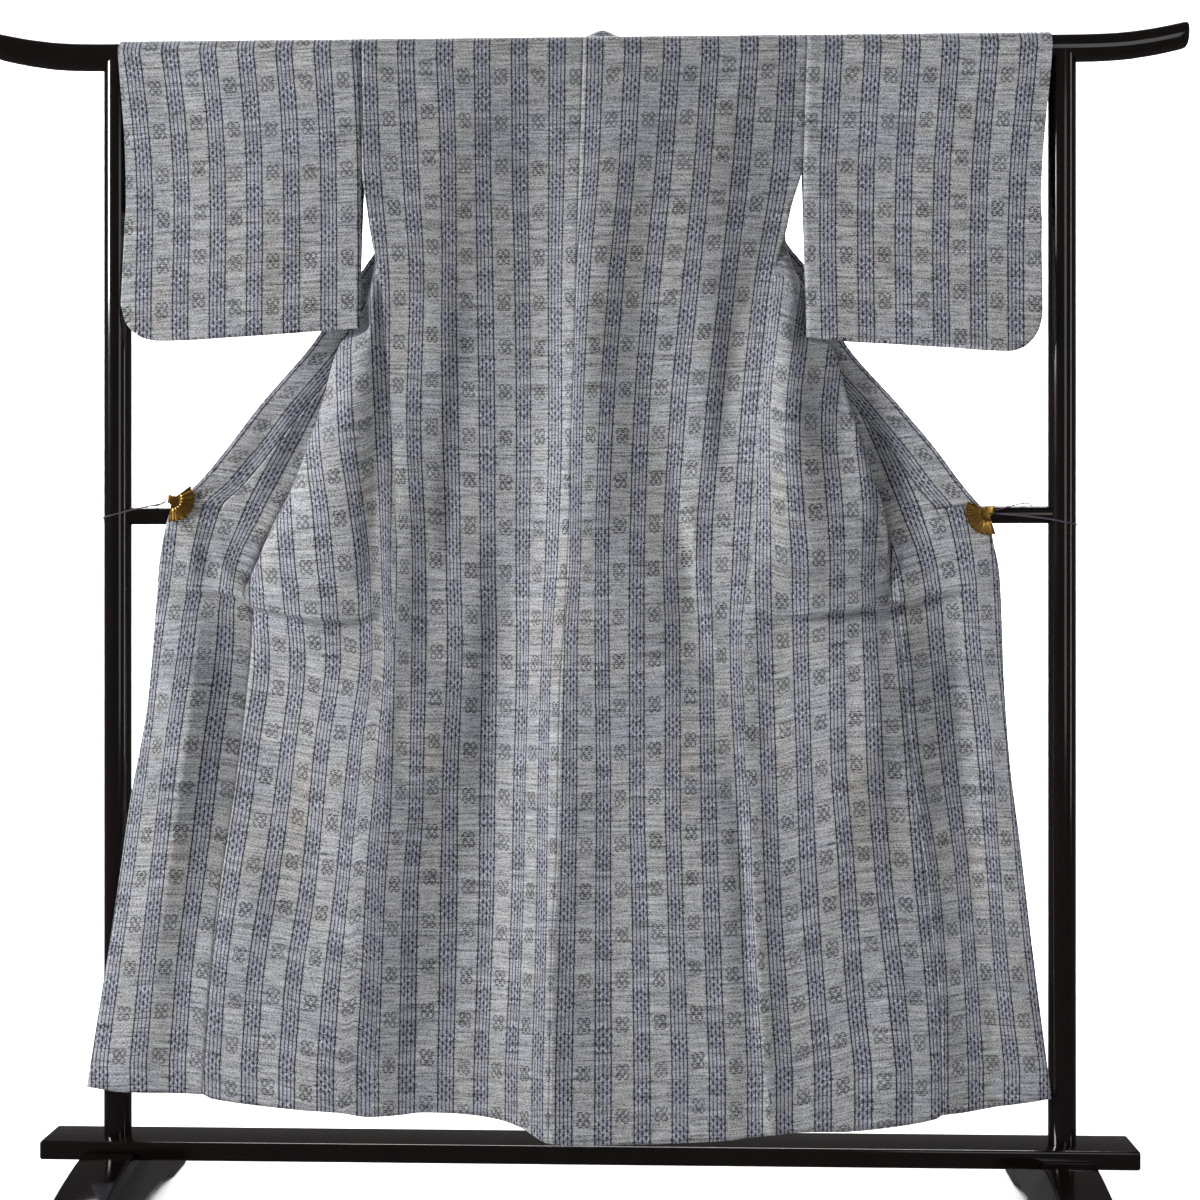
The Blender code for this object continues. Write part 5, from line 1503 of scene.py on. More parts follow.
@dataclass
class FanClip:
    """Brass clip: a ribbed fan before the cloth, a plain jaw behind it, a hinge bar between."""

    name: str
    place: tuple[float, float, float, float, float]
    brass: bpy.types.Material
    radius: float = 0.0325
    boss: float = 0.0125
    ribs: int = 8
    spread_degrees: float = 136.0
    plate: float = 0.0020
    rib: float = 0.0012
    front_y: float = -0.0242
    back_y: float = -0.0172
    jaw: tuple[float, float, float] = (0.026, 0.0016, 0.016)
    bar: tuple[float, float, float] = (0.0027, 0.0058, 0.0125)

    def build(self) -> bpy.types.Object:
        """Makes the clip as one object.

        Returns:
            The clip.
        """
        fan = self.fan()
        pieces = [fan, self.hinge(), self.back_jaw(), self.neck()]
        start_shape()
        for piece in pieces:
            piece.select_set(True)
        bpy.context.view_layer.objects.active = fan
        bpy.ops.object.join()
        settle(fan, f"brass_clip_{self.name}", self.brass)
        stand_in(fan, f"clip_{self.name}")
        return fan

    def fan(self) -> bpy.types.Object:
        """The ribbed fan with its smooth boss, its ribs easing off towards the scalloped edge."""
        hub_x, hub_z, degrees = self.place[:3]
        start = math.radians(degrees - self.spread_degrees / 2)
        spread_angle = math.radians(self.spread_degrees)
        front = self.front_y - self.plate
        steps = self.ribs * 12
        rings = []
        profile = (
            (0.0, 1.25), (0.30, 1.20), (0.60, 1.00), (0.85, 0.60), (0.97, 0.20), (1.0, 0.0),
        )
        for share, lift in profile:
            rings.append([(share * self.boss, lift * self.rib)] * (steps + 1))
        for share in (0.02, 0.08, 0.25, 0.5, 0.75, 0.90, 0.955, 0.985, 1.0):
            ring = []
            for k in range(steps + 1):
                wave = 0.5 + 0.5 * math.cos(2 * math.pi * k / steps * self.ribs)
                scallop = 1.0 - 0.045 * (1 - wave) * share
                edge = 1.0 if share < 0.95 else 0.75 if share < 0.99 else 0.25
                lead = min(1.0, share * 12)
                ring.append((self.boss + (self.radius * scallop - self.boss) * share,
                             self.rib * (0.15 + 0.95 * wave) * edge * lead))
            rings.append(ring)
        points = []
        for ring in rings:
            for k, (radius, lift) in enumerate(ring):
                angle = start + spread_angle * k / steps
                x = hub_x + radius * math.cos(angle)
                points.append((x, front - lift, hub_z + radius * math.sin(angle)))
        count = steps + 1
        faces = []
        for level in range(len(rings) - 1):
            for k in range(steps):
                a = level * count + k
                faces.append((a, a + 1, a + count + 1, a + count))
        item = new_object("fan", points, faces)
        weld(item)
        choose(item)
        with edit_mode():
            bpy.ops.mesh.extrude_region_move(TRANSFORM_OT_translate={"value": (0, 0, 0)})
        moved = [vertex for vertex in item.data.vertices if vertex.select]
        for vertex in moved:
            vertex.co.y = self.front_y
        with edit_mode():
            bpy.ops.mesh.normals_make_consistent(inside=False)
        smooth_by_angle(item, 50.0)
        return item

    def block(self, name: str, low: Vector, high: Vector, bevel: float) -> bpy.types.Object:
        """A small plate with rounded edges.

        Args:
            name: The object's name.
            low: Its lowest corner.
            high: Its highest corner.
            bevel: Width of its rounded edges.

        Returns:
            The plate.
        """
        start_shape()
        bpy.ops.mesh.primitive_cube_add(size=1.0, location=(low + high) / 2)
        item = bpy.context.object
        size = high - low
        item.scale = (abs(size.x), abs(size.y), abs(size.z))
        bpy.ops.object.transform_apply(location=True, rotation=True, scale=True)
        item.name = name
        round_edges(item, bevel, 3, 30.0)
        smooth_by_angle(item, 40.0)
        return item

    def hinge(self) -> bpy.types.Object:
        """The hinge bar: a small barrel with rounded ends."""
        bar_x, bar_z = self.place[3:]
        middle = (self.front_y - self.plate + self.back_y + self.jaw[1]) / 2
        half_width, half_depth, height = self.bar
        item = round_bar("hinge", half_width, (
            Vector((bar_x, middle, bar_z - height / 2)), Vector((bar_x, middle, bar_z + height / 2))), 32)
        bpy.ops.object.transform_apply(location=True, rotation=True, scale=True)
        for vertex in item.data.vertices:
            vertex.co.y = middle + (vertex.co.y - middle) * half_depth / half_width
        round_edges(item, 0.0008, 3, 60.0)
        smooth_by_angle(item, 50.0)
        return item

    def back_jaw(self) -> bpy.types.Object:
        """The plain jaw behind the cloth."""
        bar_x, bar_z = self.place[3:]
        outward = 1.0 if bar_x > 0 else -1.0
        length, thick, height = self.jaw
        xs = sorted((bar_x + outward * 0.0008, bar_x - outward * length))
        low = Vector((xs[0], self.back_y, bar_z - height / 2))
        high = Vector((xs[1], self.back_y + thick, bar_z + height * 0.3))
        return self.block("jaw", low, high, 0.0006)

    def neck(self) -> bpy.types.Object:
        """The short plate from the fan to its hinge."""
        hub_x, _, _, bar_x, bar_z = self.place
        outward = 1.0 if bar_x > 0 else -1.0
        xs = sorted((hub_x - outward * 0.006, bar_x))
        low = Vector((xs[0], self.front_y - self.plate + 0.0003, bar_z - 0.0055))
        high = Vector((xs[1], self.front_y - 0.0003, bar_z + 0.0045))
        return self.block("neck", low, high, 0.0005)


@dataclass
class ClipCord:
    """A thin cord from a clip's bar, round its post and over the middle rail back to the bar."""

    clip: FanClip
    stand: Stand
    drop: float
    silk: bpy.types.Material
    radius: float = 0.0010
    strands: int = 3

    def route(self) -> np.ndarray:
        """The cord's middle line.

        Returns:
            Points in metres.
        """
        bar_x, bar_z = self.clip.place[3:]
        outward = 1.0 if bar_x > 0 else -1.0
        post_x, post_r = self.stand.post_x, self.stand.post_radius
        middle = (self.clip.front_y - self.clip.plate + self.clip.back_y + self.clip.jaw[1]) / 2
        start_x = bar_x + outward * (self.clip.bar[0] + self.radius + 0.0004)
        start_z = bar_z - self.clip.bar[2] / 2 + 0.0015
        reach = post_r + self.radius + 0.0006
        post_z = start_z - self.drop
        over = self.stand.mid_z + self.stand.mid_radius + self.radius + 0.0010
        path = [(start_x, middle - 0.0012, start_z),
                (outward * (post_x - 0.030), -reach, start_z + (post_z - start_z) * 0.44)]
        for k in range(9):
            angle = math.radians(-90 + k * 180 / 8)
            z = start_z + (post_z - start_z) * (0.80 + 0.20 * math.sin(math.radians(k * 22.5)))
            path.append((outward * (post_x + reach * math.cos(angle)), reach * math.sin(angle), z))
        path.append((outward * (post_x - 0.026), 0.0190, (post_z + over) / 2 + 0.0035))
        path.append((outward * (post_x - 0.044), 0.0070, over + 0.0005))
        path.append((outward * (post_x - 0.060), -0.0060, over + 0.0005))
        path.append((start_x + outward * 0.0006, middle + 0.0022, bar_z - 0.0005))
        count = len(path)
        return spread(np.array(path), ((0, count - 1, 220),))

    def build(self) -> bpy.types.Object:
        """Makes the cord of twisted strands.

        Returns:
            The cord.
        """
        line = self.route()
        run = np.gradient(line, axis=0)
        run /= np.linalg.norm(run, axis=1, keepdims=True)
        length = np.concatenate([[0.0], np.cumsum(np.linalg.norm(np.diff(line, axis=0), axis=1))])
        up = np.array([0.0, 0.0, 1.0])
        aside = np.cross(run, up)
        aside /= np.linalg.norm(aside, axis=1, keepdims=True)
        above = np.cross(aside, run)
        points: list[tuple[float, float, float]] = []
        faces: list[tuple[int, ...]] = []
        sides = 18
        for k, place in enumerate(line):
            turn = 2 * math.pi * length[k] / 0.006
            for j in range(sides):
                angle = 2 * math.pi * j / sides
                lobe = 1.0 - 0.16 * (0.5 - 0.5 * math.cos(self.strands * (angle - turn)))
                offset = (aside[k] * math.cos(angle) + above[k] * math.sin(angle)) * self.radius * lobe
                points.append(tuple(place + offset))
        for k in range(len(line) - 1):
            for j in range(sides):
                n = (j + 1) % sides
                a, b = k * sides, (k + 1) * sides
                faces.append((a + j, a + n, b + n, b + j))
        faces.append(tuple(range(sides))[::-1])
        faces.append(tuple(range(len(points) - sides, len(points))))
        item = new_object("cord", points, faces)
        weld(item)
        item.data.shade_smooth()
        settle(item, f"silk_cord_{self.clip.name}", self.silk)
        stand_in(item, f"clip_cord_{self.clip.name}")
        return item


# ---- finishes ----

class Shader:
    """One procedural material while its nodes are being added."""

    def __init__(self, name: str) -> None:
        """Starts a material with its Principled surface.

        Args:
            name: The real material's name.
        """
        self.material = bpy.data.materials.new(name)
        self.material.use_nodes = True
        self.tree = self.material.node_tree
        self.surface = self.tree.nodes["Principled BSDF"]

    def add(self, kind: str, inputs: dict, out: int | str = 0, **settings: object) -> "Wire":
        """Adds one node.

        Args:
            kind: The node's type without its ShaderNode prefix.
            inputs: Values or wires by input name or number.
            out: The output that is wanted.
            **settings: The node's own settings.

        Returns:
            A wire from that output.
        """
        node = self.tree.nodes.new("ShaderNode" + kind)
        for key, value in settings.items():
            setattr(node, key, value)
        for key, value in inputs.items():
            self.put(node, key, value)
        return Wire(self, node.outputs[out])

    def colour(self, code: str) -> "Wire":
        """A plain colour from its sRGB hex code."""
        plain = self.add("RGB", {})
        plain.socket.default_value = linear(code)
        return plain

    def put(self, node: bpy.types.Node, key: int | str, value: object) -> None:
        """Links a wire to a node's input, or sets the input to a constant."""
        if isinstance(value, Wire):
            self.tree.links.new(value.socket, node.inputs[key])
        else:
            node.inputs[key].default_value = value

    def finish(self, **inputs: object) -> bpy.types.Material:
        """Feeds the surface and gives the material.

        Args:
            **inputs: Values or wires by input name, with _ for a space.

        Returns:
            The material.
        """
        for key, value in inputs.items():
            self.put(self.surface, key.replace("_", " "), value)
        return self.material


class Wire:
    """A value that nodes pass on, with arithmetic that adds Math nodes."""

    def __init__(self, shader: Shader, socket: bpy.types.NodeSocket) -> None:
        """Keeps the shader and the socket."""
        self.shader = shader
        self.socket = socket

    def math(self, operation: str, *others: object, clamp: bool = False) -> "Wire":
        """Adds a Math node with this value first."""
        inputs = dict(enumerate((self, *others)))
        return self.shader.add("Math", inputs, operation=operation, use_clamp=clamp)

    def __add__(self, other: object) -> "Wire":
        """Sum."""
        return self.math("ADD", other)

    def __sub__(self, other: object) -> "Wire":
        """Difference."""
        return self.math("SUBTRACT", other)

    def __mul__(self, other: object) -> "Wire":
        """Product."""
        return self.math("MULTIPLY", other)

    def over(self, other: object) -> "Wire":
        """The larger of two values."""
        return self.math("MAXIMUM", other)

    def under(self, other: object) -> "Wire":
        """The smaller of two values."""
        return self.math("MINIMUM", other)

    def away(self, middle: float = 0.0) -> "Wire":
        """Distance from a value."""
        return (self - middle).math("ABSOLUTE") if middle else self.math("ABSOLUTE")

    def inside(self, limit: object, soft: float) -> "Wire":
        """1 below a limit, 0 above it, with a soft step."""
        if isinstance(limit, Wire):
            return ((limit - self) * (0.5 / soft)).math("ADD", 0.5, clamp=True)
        return self.math("MULTIPLY_ADD", -0.5 / soft, 0.5 * limit / soft + 0.5, clamp=True)

    def wrap(self, period: float, shift: float = 0.0) -> "Wire":
        """Distance to the nearest multiple of a period, with its sign."""
        turned = self if not shift else self - shift
        return turned - (turned * (1 / period) + 0.5).math("FLOOR") * period

    def blend(self, other: object, share: object) -> "Wire":
        """Mixes this colour towards another."""
        inputs = {0: share, 6: self, 7: other}
        return self.shader.add("Mix", inputs, out=2, data_type="RGBA")


@dataclass(frozen=True)
class KasuriSilk:
    """Kasuri silk with striped bands, stars woven in the bands and dashed flowers between them.

    Distances are in mm. Real silk crepe has threads about 0.25 mm apart. They are drawn 1.1 mm
    apart, because finer lines would vanish at any distance that shows the whole garment.
    """

    # Kasuri: the yarn is tied and dyed before it is woven, so every figure is built of short
    # dashes with blurred ends on a pale ground, and uneven weft threads streak it crosswise.
    # To the eye the silk is matt, with only a soft sheen where a fold turns away.
    ground: str = "999a9e"
    warm: str = "959391"      # clouds of slightly warmer and cooler ground
    cool: str = "898d95"
    band: str = "93969f"      # ground between the lines of a band
    line: str = "191a29"
    shade: str = "747785"     # ground behind a cluster of stars
    mark: str = "1b1c2b"
    fleck: str = "d2d4dc"
    flower: str = "1d1e26"
    period: float = BAND_PERIOD / MM
    repeat: float = 64.0      # from one cluster or flower to the next along the cloth
    slip: float = 17.0        # how far the clusters of two bands may lie apart
    outer: float = 11.3       # outer and inner lines, from the band's middle
    inner: float = 5.65
    star_rows: float = 5.4
    thread: float = 1.1
    upper_painted_shade: float = 0.20  # painted shade: how much darker the upper back is drawn

    def build(self) -> bpy.types.Material:
        """Makes the material.

        Returns:
            The woven silk.
        """
        shader = Shader("kasuri_silk")
        cloth = shader.add("UVMap", {}, uv_map="cloth")
        u = shader.add("SeparateXYZ", {0: cloth}, out="X") * 1000.0
        v = shader.add("SeparateXYZ", {0: cloth}, out="Y") * 1000.0
        number = (u * (1 / self.period) + 0.5).math("FLOOR")
        chance = shader.add("TexWhiteNoise", {"W": number}, noise_dimensions="1D")
        wander = self.noise(shader, number * 7.3, v, 1.0, 0.05, 0.0)
        x = (u - number * self.period) + (wander - 0.5) * 0.9
        grain = self.noise(shader, u, v, 0.50, 0.62, 3.0)
        fine = self.threads(shader, u, v, self.thread)
        coarse = self.threads(shader, u, v, self.thread * 1.7)
        gap = (u * (1 / self.period)).math("FLOOR")
        gap_chance = shader.add("TexWhiteNoise", {"W": gap + 0.5}, noise_dimensions="1D")
        y = v + (self.noise(shader, u, v, 0.011, 0.011, 5.0) - 0.5) * 8.0
        shade, light, marks = self.stars(x, y + (chance - 0.5) * self.slip, coarse)
        lines = self.stripes(x, fine)
        in_band = x.away().inside(self.outer, 0.5)
        flowers = self.flowers(shader, u, y + (gap_chance - 0.5) * self.slip, coarse)
        tint = self.noise(shader, u, v, 0.010, 0.004, 11.0)
        cool = self.noise(shader, u, v, 0.006, 0.011, 31.0)
        ground = shader.colour(self.ground)
        colour = ground.blend(linear(self.warm), ((tint - 0.42) * 3.0).math("ADD", 0.0, clamp=True))
        colour = colour.blend(linear(self.cool), ((cool - 0.48) * 3.0).math("ADD", 0.0, clamp=True))
        colour = colour.blend(linear(self.band), in_band * 0.8)
        colour = colour.blend(linear(self.shade), shade)
        colour = colour.blend(linear(self.flower), flowers)
        colour = colour.blend(linear(self.fleck), light)
        colour = colour.blend(linear(self.mark), marks)
        colour = colour.blend(linear(self.line), lines)
        value = (fine - 0.5) * 0.90 + (grain - 0.5) * 1.7 + 1.02 - self.slubs(shader, u, v)
        # Painted shade: the upper back between the sleeves is drawn up to a fifth darker, standing in for
        # light that falls off there.
        value = value * (self.upper_back_painted_shade(shader) * -self.upper_painted_shade + 1.0)
        colour = shader.add("HueSaturation", {"Color": colour, "Value": value})
        bump = self.bump(shader, u, v, grain)
        return shader.finish(
            Base_Color=colour, Roughness=0.62, Sheen_Weight=0.12, Sheen_Roughness=0.45,
            Specular_IOR_Level=0.28, Normal=bump,
        )

    def upper_back_painted_shade(self, shader: Shader) -> Wire:
        """Mask of the painted shade: 1 on the upper body between the sleeves, falling off softly below and
        beside it.
        """
        place = shader.add("TexCoord", {}, out="Object")
        height = shader.add("SeparateXYZ", {0: place}, out="Z")
        aside = shader.add("SeparateXYZ", {0: place}, out="X").away()
        upper = (height - 1.10).math("MULTIPLY", 2.8, clamp=True)
        return upper * aside.inside(0.345, 0.05)

    def noise(self, shader: Shader, u: Wire, v: Wire, across: float, along: float, seed: float) -> Wire:
        """Smooth noise on the cloth.

        Args:
            shader: The material.
            u: Place across, in mm.
            v: Place along, in mm.
            across: Waves per mm across.
            along: Waves per mm along.
            seed: Shifts the noise.

        Returns:
            A value round 0.5.
        """
        place = shader.add("CombineXYZ", {0: u * across, 1: v * along + seed * 13.7})
        return shader.add(
            "TexNoise", {"Vector": place, "Scale": 1.0, "Detail": 2.0, "Roughness": 0.55},
            noise_dimensions="2D",
        )

    def threads(self, shader: Shader, u: Wire, v: Wire, pitch: float) -> Wire:
        """A chance value for every crossing of threads.

        Args:
            shader: The material.
            u: Place across, in mm.
            v: Place along, in mm.
            pitch: Distance of the threads.

        Returns:
            A value from 0 to 1.
        """
        place = shader.add("CombineXYZ", {
            0: (u * (1 / pitch)).math("FLOOR"), 1: (v * (1 / pitch)).math("FLOOR"),
        })
        return shader.add("TexWhiteNoise", {"Vector": place}, noise_dimensions="2D")

    def stripes(self, x: Wire, fine: Wire) -> Wire:
        """The five dark lines of a band, the outer two a little stronger."""
        jitter = (fine - 0.5) * 0.7
        outer = (x.away().away(self.outer) + jitter).inside(1.06, 0.35)
        inner = x.away().away(self.inner).under(x.away())
        return outer.over((inner + jitter).inside(0.86, 0.35) * 0.92) * 0.98

    def stars(self, x: Wire, y: Wire, coarse: Wire) -> tuple[Wire, Wire, Wire]:
        """The clusters in a band: stars on the lines in turn, pale flecks between them.

        Args:
            x: Distance from the band's middle.
            y: Place along the band.
            coarse: Thread noise.

        Returns:
            Shares of the shaded ground, the pale flecks and the dark threads.
        """
        along = y.wrap(self.repeat)
        half = self.star_rows * 3 + 2.0
        shown = along.away().inside(half, 1.2)
        inside = shown * x.away().inside(self.outer, 0.4)
        turn = (x * (math.pi / self.inner)).math("COSINE")
        row = (along * (math.pi / self.star_rows)).math("COSINE")
        checker = turn * row
        light = (checker * -1.0 + (coarse - 0.5) * 1.3).inside(-0.50, 0.12) * inside * 0.48
        dx = x.wrap(self.inner)
        dy = along.wrap(self.star_rows)
        cross = dx.away().under(dy.away()).under((dx + dy).away() * 0.707).under((dx - dy).away() * 0.707)
        reach = dx.math("POWER", 2.0) + dy.math("POWER", 2.0)
        star = cross.inside(0.58, 0.28) * reach.inside(1.9 ** 2, 1.4) * checker.inside(-0.12, 0.08) * inside
        knot = (checker + (coarse - 0.5) * 0.5).inside(-0.90, 0.14) * inside * 0.4
        tick_at = along.away().away(self.star_rows)
        tick = tick_at.inside(0.8, 0.25) * x.away().away(self.outer).inside(2.9, 0.4)
        return inside * 0.62, light, star.over(knot).over(tick) * 0.82

    def flowers(self, shader: Shader, u: Wire, y: Wire, coarse: Wire) -> Wire:
        """Four dashed rings midway between two bands.

        Args:
            shader: The material.
            u: Place across.
            y: Place along.
            coarse: Thread noise.

        Returns:
            Share of the dark threads.
        """
        x = u.wrap(self.period, self.period / 2)
        place = shader.add("CombineXYZ", {
            0: (u * (1 / self.period)).math("FLOOR"), 1: (y * (1 / self.repeat)).math("FLOOR"),
        })
        strength = shader.add("TexWhiteNoise", {"Vector": place}, noise_dimensions="2D")
        y = y.wrap(self.repeat, self.repeat * 0.5)
        row = (y * (1 / 2.8)).math("FLOOR") * 2.8 + 1.4
        ax = x.away() - 4.6
        ay = row.away() - 5.6
        ring = (ax.math("POWER", 2.0) + ay.math("POWER", 2.0)).math("SQRT").away(3.7)
        dash = (y - row + (x * 2.1).math("SINE") * 0.45).away().inside(0.98, 0.32)
        shown = (ring + (coarse - 0.5) * 1.6).inside(1.35, 0.4) * dash
        return shown * (strength * 0.20 + 0.80)

    def slubs(self, shader: Shader, u: Wire, v: Wire) -> Wire:
        """Darker weft threads of uneven thickness."""
        short = self.noise(shader, u, v, 0.030, 0.50, 17.0)
        long = self.noise(shader, u, v, 0.012, 0.24, 23.0)
        thick = (short * -1.0).inside(-0.57, 0.06) * 0.35
        return thick + (long - 0.5) * 1.35

    def bump(self, shader: Shader, u: Wire, v: Wire, grain: Wire) -> Wire:
        """Fine crossing threads."""
        warp = (u * (2 * math.pi / self.thread)).math("SINE")
        weft = (v * (2 * math.pi / self.thread)).math("SINE")
        height = warp * weft * 0.5 + grain * 0.8
        return shader.add("Bump", {"Strength": 0.25, "Distance": 0.0002, "Height": height}, out="Normal")


def lacquer() -> bpy.types.Material:
    """Black-brown polished lacquer on wood, with faint waves."""
    # Urushi lacquer, brushed over planed wood in many coats and rubbed to a polish. It looks
    # deep black, with narrow bright reflections that waver a little.
    shader = Shader("black_lacquer")
    place = shader.add("TexCoord", {}, out="Object")
    grain = shader.add("Mapping", {"Vector": place, "Scale": (40.0, 40.0, 6.0)})
    wood = shader.add("TexNoise", {"Vector": grain, "Scale": 1.0, "Detail": 5.0, "Roughness": 0.6})
    cloud = shader.add("TexNoise", {"Vector": place, "Scale": 9.0, "Detail": 3.0})
    base = shader.colour("060405")
    colour = base.blend(linear("120908"), wood)
    rough = cloud * 0.10 + 0.06
    wave = shader.add("Bump", {"Strength": 0.06, "Distance": 0.001, "Height": wood}, out="Normal")
    return shader.finish(Base_Color=colour, Roughness=rough, Specular_IOR_Level=0.5, Normal=wave)


def brass() -> bpy.types.Material:
    """Stamped brass, brushed, darker where it has aged."""
    # Brass sheet pressed into ribs and brushed. Its crests gleam softly and its hollows are
    # dull and brown.
    shader = Shader("stamped_brass")
    place = shader.add("TexCoord", {}, out="Object")
    age = shader.add("TexNoise", {"Vector": place, "Scale": 160.0, "Detail": 4.0, "Roughness": 0.6})
    scratch = shader.add("TexNoise", {"Vector": shader.add(
        "Mapping", {"Vector": place, "Scale": (900.0, 900.0, 200.0)}), "Scale": 1.0, "Detail": 2.0})
    base = shader.colour("a98240")
    colour = base.blend(linear("6b4f22"), (age - 0.45) * 1.4)
    wave = shader.add("Bump", {"Strength": 0.15, "Distance": 0.0002, "Height": scratch}, out="Normal")
    return shader.finish(Base_Color=colour, Metallic=1.0, Roughness=scratch * 0.16 + 0.20, Normal=wave)


def cord_silk() -> bpy.types.Material:
    """Twisted silk cord, dark violet, with paler fibres."""
    # Three dyed strands of silk twisted hard. The cord is dark, with a soft light on it.
    shader = Shader("twisted_silk")
    place = shader.add("TexCoord", {}, out="Object")
    fibre = shader.add("TexNoise", {"Vector": place, "Scale": 1500.0, "Detail": 2.0})
    base = shader.colour("2e1f38")
    colour = base.blend(linear("6a5676"), (fibre - 0.4) * 0.8)
    wave = shader.add("Bump", {"Strength": 0.3, "Distance": 0.0001, "Height": fibre}, out="Normal")
    return shader.finish(Base_Color=colour, Roughness=0.6, Sheen_Weight=0.3, Normal=wave)


def studio_white() -> bpy.types.Material:
    """Matt pale floor covering with a trace of unevenness."""
    # A roll of matt studio paper, pale and without a reflection.
    shader = Shader("pale_floor")
    place = shader.add("TexCoord", {}, out="Object")
    cloud = shader.add("TexNoise", {"Vector": place, "Scale": 3.0, "Detail": 2.0})
    base = shader.colour("f4f4f4")
    colour = base.blend(linear("efefef"), cloud)
    return shader.finish(Base_Color=colour, Roughness=0.75, Specular_IOR_Level=0.2)


# ---- the studio ----

@dataclass
class Studio:
    """Pale floor that sweeps up behind, soft lights and the camera."""

    camera_at: Place = (0.1161, -2.7483, 0.883)
    aim: Place = (0.0201, 0.0, 0.883)
    lens: float = 57.75       # focal length in mm, on a sensor 36 mm wide
    half_width: float = 12.0
    backdrop_height: float = 8.0

    def build(self) -> None:
        """Makes floor, lights, world and camera."""
        self.floor()
        self.light("key", (-7.8, -3.6, 4.0), (0.0, 0.0, 0.95), (2.2, 3.0), 1060.0)
        self.light("strip", (5.6, -2.2, 1.8), (0.3, 0.0, 1.2), (0.35, 3.6), 34.0)
        self.light("fill", (2.2, -5.0, 1.6), (0.0, 0.0, 0.9), (1.4, 2.6), 22.0)
        self.light("wash", (0.0, 1.6, 3.4), (0.0, 5.0, 1.2), (4.0, 0.8), 420.0)
        self.light("top", (0.0, 2.2, 4.2), (0.0, 2.4, 0.0), (4.0, 2.0), 210.0)
        world = bpy.data.worlds.new("studio")
        world.use_nodes = True
        sky = world.node_tree.nodes["Background"]
        sky.inputs["Color"].default_value = (1.0, 1.0, 1.0, 1.0)
        sky.inputs["Strength"].default_value = 0.10
        scene = bpy.context.scene
        scene.world = world
        scene.view_settings.view_transform = "Standard"
        camera = bpy.data.cameras.new("camera")
        camera.lens = self.lens
        camera.sensor_width = 36.0
        holder = bpy.data.objects.new("camera", camera)
        bpy.context.collection.objects.link(holder)
        holder.location = self.camera_at
        look = Vector(self.aim) - Vector(self.camera_at)
        holder.rotation_euler = look.to_track_quat("-Z", "Y").to_euler()
        scene.camera = holder

    def floor(self) -> None:
        """One sheet: level below, curving up into a backdrop behind."""
        near, far, bend, steps = -9.0, 3.0, 2.0, 12
        profile = [(near, 0.0), (far, 0.0)]
        for k in range(1, steps + 1):
            angle = math.pi / 2 * k / steps
            profile.append((far + bend * math.sin(angle), bend - bend * math.cos(angle)))
        profile.append((far + bend, self.backdrop_height))
        sides = (-self.half_width, self.half_width)
        points = [(x, y, z) for x in sides for y, z in profile]
        count = len(profile)
        faces = [(k, count + k, count + k + 1, k + 1) for k in range(count - 1)]
        item = new_object("floor", points, faces)
        item.data.shade_smooth()
        item.data.materials.append(studio_white())
        # The lacquer mirrors a dark room: polished faces would turn white with the sheet in them.
        item.visible_glossy = False

    def light(self, name: str, at: Place, aim: Place, size: tuple[float, float], power: float) -> None:
        """Adds one soft rectangular light.

        Args:
            name: Its name.
            at: Where it stands.
            aim: What it faces.
            size: Its width and height.
            power: Its strength in watts.
        """
        lamp = bpy.data.lights.new(name, "AREA")
        lamp.shape = "RECTANGLE"
        lamp.size, lamp.size_y = size
        lamp.energy = power
        item = bpy.data.objects.new(name, lamp)
        bpy.context.collection.objects.link(item)
        item.location = at
        item.rotation_euler = (Vector(aim) - Vector(at)).to_track_quat("-Z", "Y").to_euler()


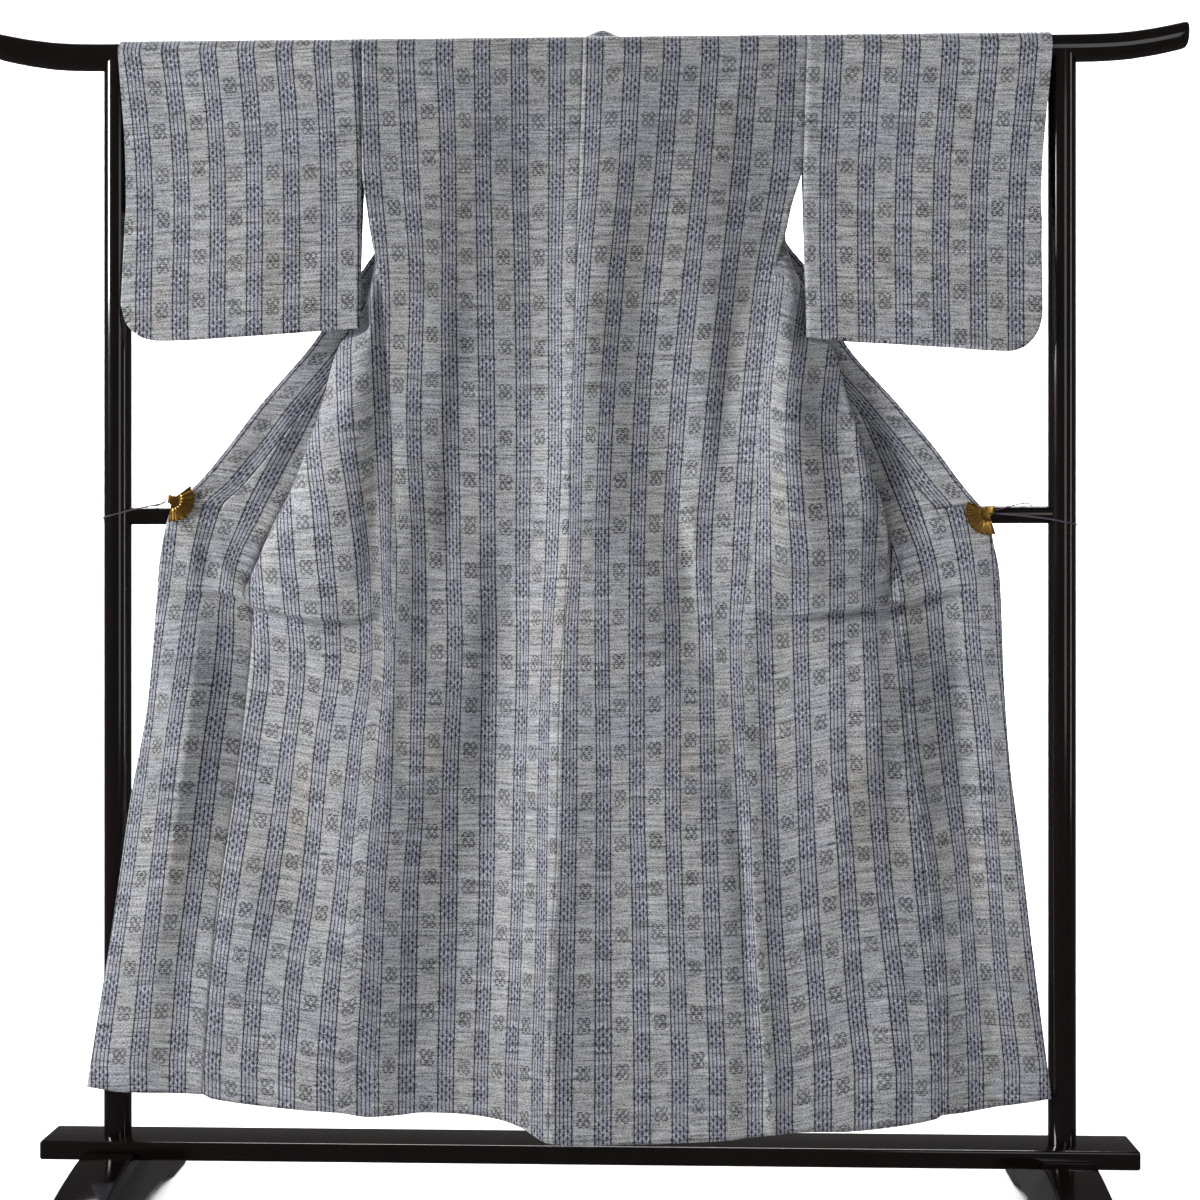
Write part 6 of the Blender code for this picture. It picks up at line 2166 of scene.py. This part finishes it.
# Strokes on the near face: start and end as x and z, width, depth.
CREASES = (
    # Left sleeve: a diagonal pull below the armhole, a rise at the outer corner.
    ((-352, 1448), (-446, 1300), 15, -2.6),
    ((-648, 1640), (-612, 1500), 24, 3.0),
    ((-600, 1500), (-560, 1380), 30, -2.5),
    # Right sleeve: the long diagonal pull from the armhole, short folds near the rail.
    ((318, 1468), (452, 1306), 13, 2.6),
    ((452, 1306), (508, 1246), 14, 2.0),
    ((386, 1650), (356, 1597), 7, 1.4),
    ((475, 1650), (530, 1500), 24, 2.4),
    ((648, 1640), (615, 1575), 16, 2.0),
    # Back: flat marks of storage across it.
    ((-200, 1338), (-70, 1334), 16, 1.2),
    ((-220, 1262), (-80, 1268), 14, -1.2),
    ((20, 1332), (150, 1326), 15, 1.0),
    ((-190, 1000), (-40, 994), 13, -1.1),
    # Back: the soft folds beside the side seams at the waist, the raised centre seam below it.
    ((-197, 1070), (-194, 925), 12, -3.6),
    ((126, 1050), (148, 890), 10, -2.8),
    ((146, 1030), (168, 880), 8, 2.6),
    ((168, 880), (188, 800), 8, 2.4),
    ((-37, 770), (-50, 150), 6, 1.6),
    # Left front above the tuck: the pull from the clip and the folds under it.
    ((-410, 1176), (-487, 998), 17, 3.2),
    ((-452, 1130), (-520, 1010), 12, -2.0),
    ((-402, 1072), (-486, 903), 6, -4.0),
    ((-300, 1080), (-304, 905), 13, -4.0),
    ((-530, 960), (-506, 903), 13, 3.5),
    ((-560, 985), (-560, 905), 15, 5.0),
    # Left front below the tuck.
    ((-295, 1130), (-292, 720), 4, -1.6),
    ((-274, 1140), (-270, 720), 5, 1.2),
    ((-330, 250), (-300, 165), 20, -2.5),
    # Right front above the tuck.
    ((362, 1240), (404, 998), 10, 3.0),
    ((388, 1180), (426, 1050), 9, -2.6),
    ((486, 1030), (494, 975), 14, 2.5),
    ((414, 1030), (424, 892), 13, -5.0),
    ((434, 1012), (438, 894), 6, 3.4),
    ((447, 960), (445, 930), 5, -3.6),
    ((316, 965), (318, 890), 13, 3.0),
    # Right front below the tuck.
    ((376, 860), (372, 640), 12, -2.0),
    ((560, 860), (572, 600), 12, 2.0),
)



def main() -> None:
    """Builds and dresses the kimono, its stand and the studio."""
    silk = KasuriSilk().build()
    left = Half("left", -1, *map(Curves, (SIDE_LEFT, BACK_LEFT, FRONT_LEFT, EDGE_LEFT)))
    right = Half("right", 1, *map(Curves, (SIDE_RIGHT, BACK_RIGHT, FRONT_RIGHT, EDGE_RIGHT)))
    creases = tuple(Crease(*row) for row in CREASES)
    weaves = {name: Weave(Curves(rows)) for name, rows in BANDS.items()}
    garment = Garment((left, right), creases, weaves)
    for half in garment.halves:
        garment.lay_half(half)
    pieces = [garment.body(half) for half in garment.halves]
    pieces += [garment.overlap(half) for half in garment.halves]
    pieces.append(garment.collar())
    sleeves = (
        Sleeve(left, *map(Curves, (SLEEVE_LEFT, SLEEVE_HEM_LEFT, FURI_LEFT, SLEEVE_BAND_LEFT)), 0.055),
        Sleeve(right, *map(Curves, (SLEEVE_RIGHT, SLEEVE_HEM_RIGHT, FURI_RIGHT, SLEEVE_BAND_RIGHT)), 0.03),
    )
    pieces += [sleeve.build(garment) for sleeve in sleeves]
    for piece in pieces:
        item = piece.build(silk)
        LOG.info("%s: %d faces", item.name, len(item.data.polygons))
    stand = Stand(lacquer())
    for item in stand.build():
        LOG.info("%s: %d faces", item.name, len(item.data.polygons))
    gold, thread = brass(), cord_silk()
    for name, place, drop in (("left", CLIP_LEFT, 0.0215), ("right", CLIP_RIGHT, 0.0158)):
        clip = FanClip(name, place, gold)
        for item in (clip.build(), ClipCord(clip, stand, drop, thread).build()):
            LOG.info("%s: %d faces", item.name, len(item.data.polygons))
    Studio().build()


if __name__ == "__main__":
    main()
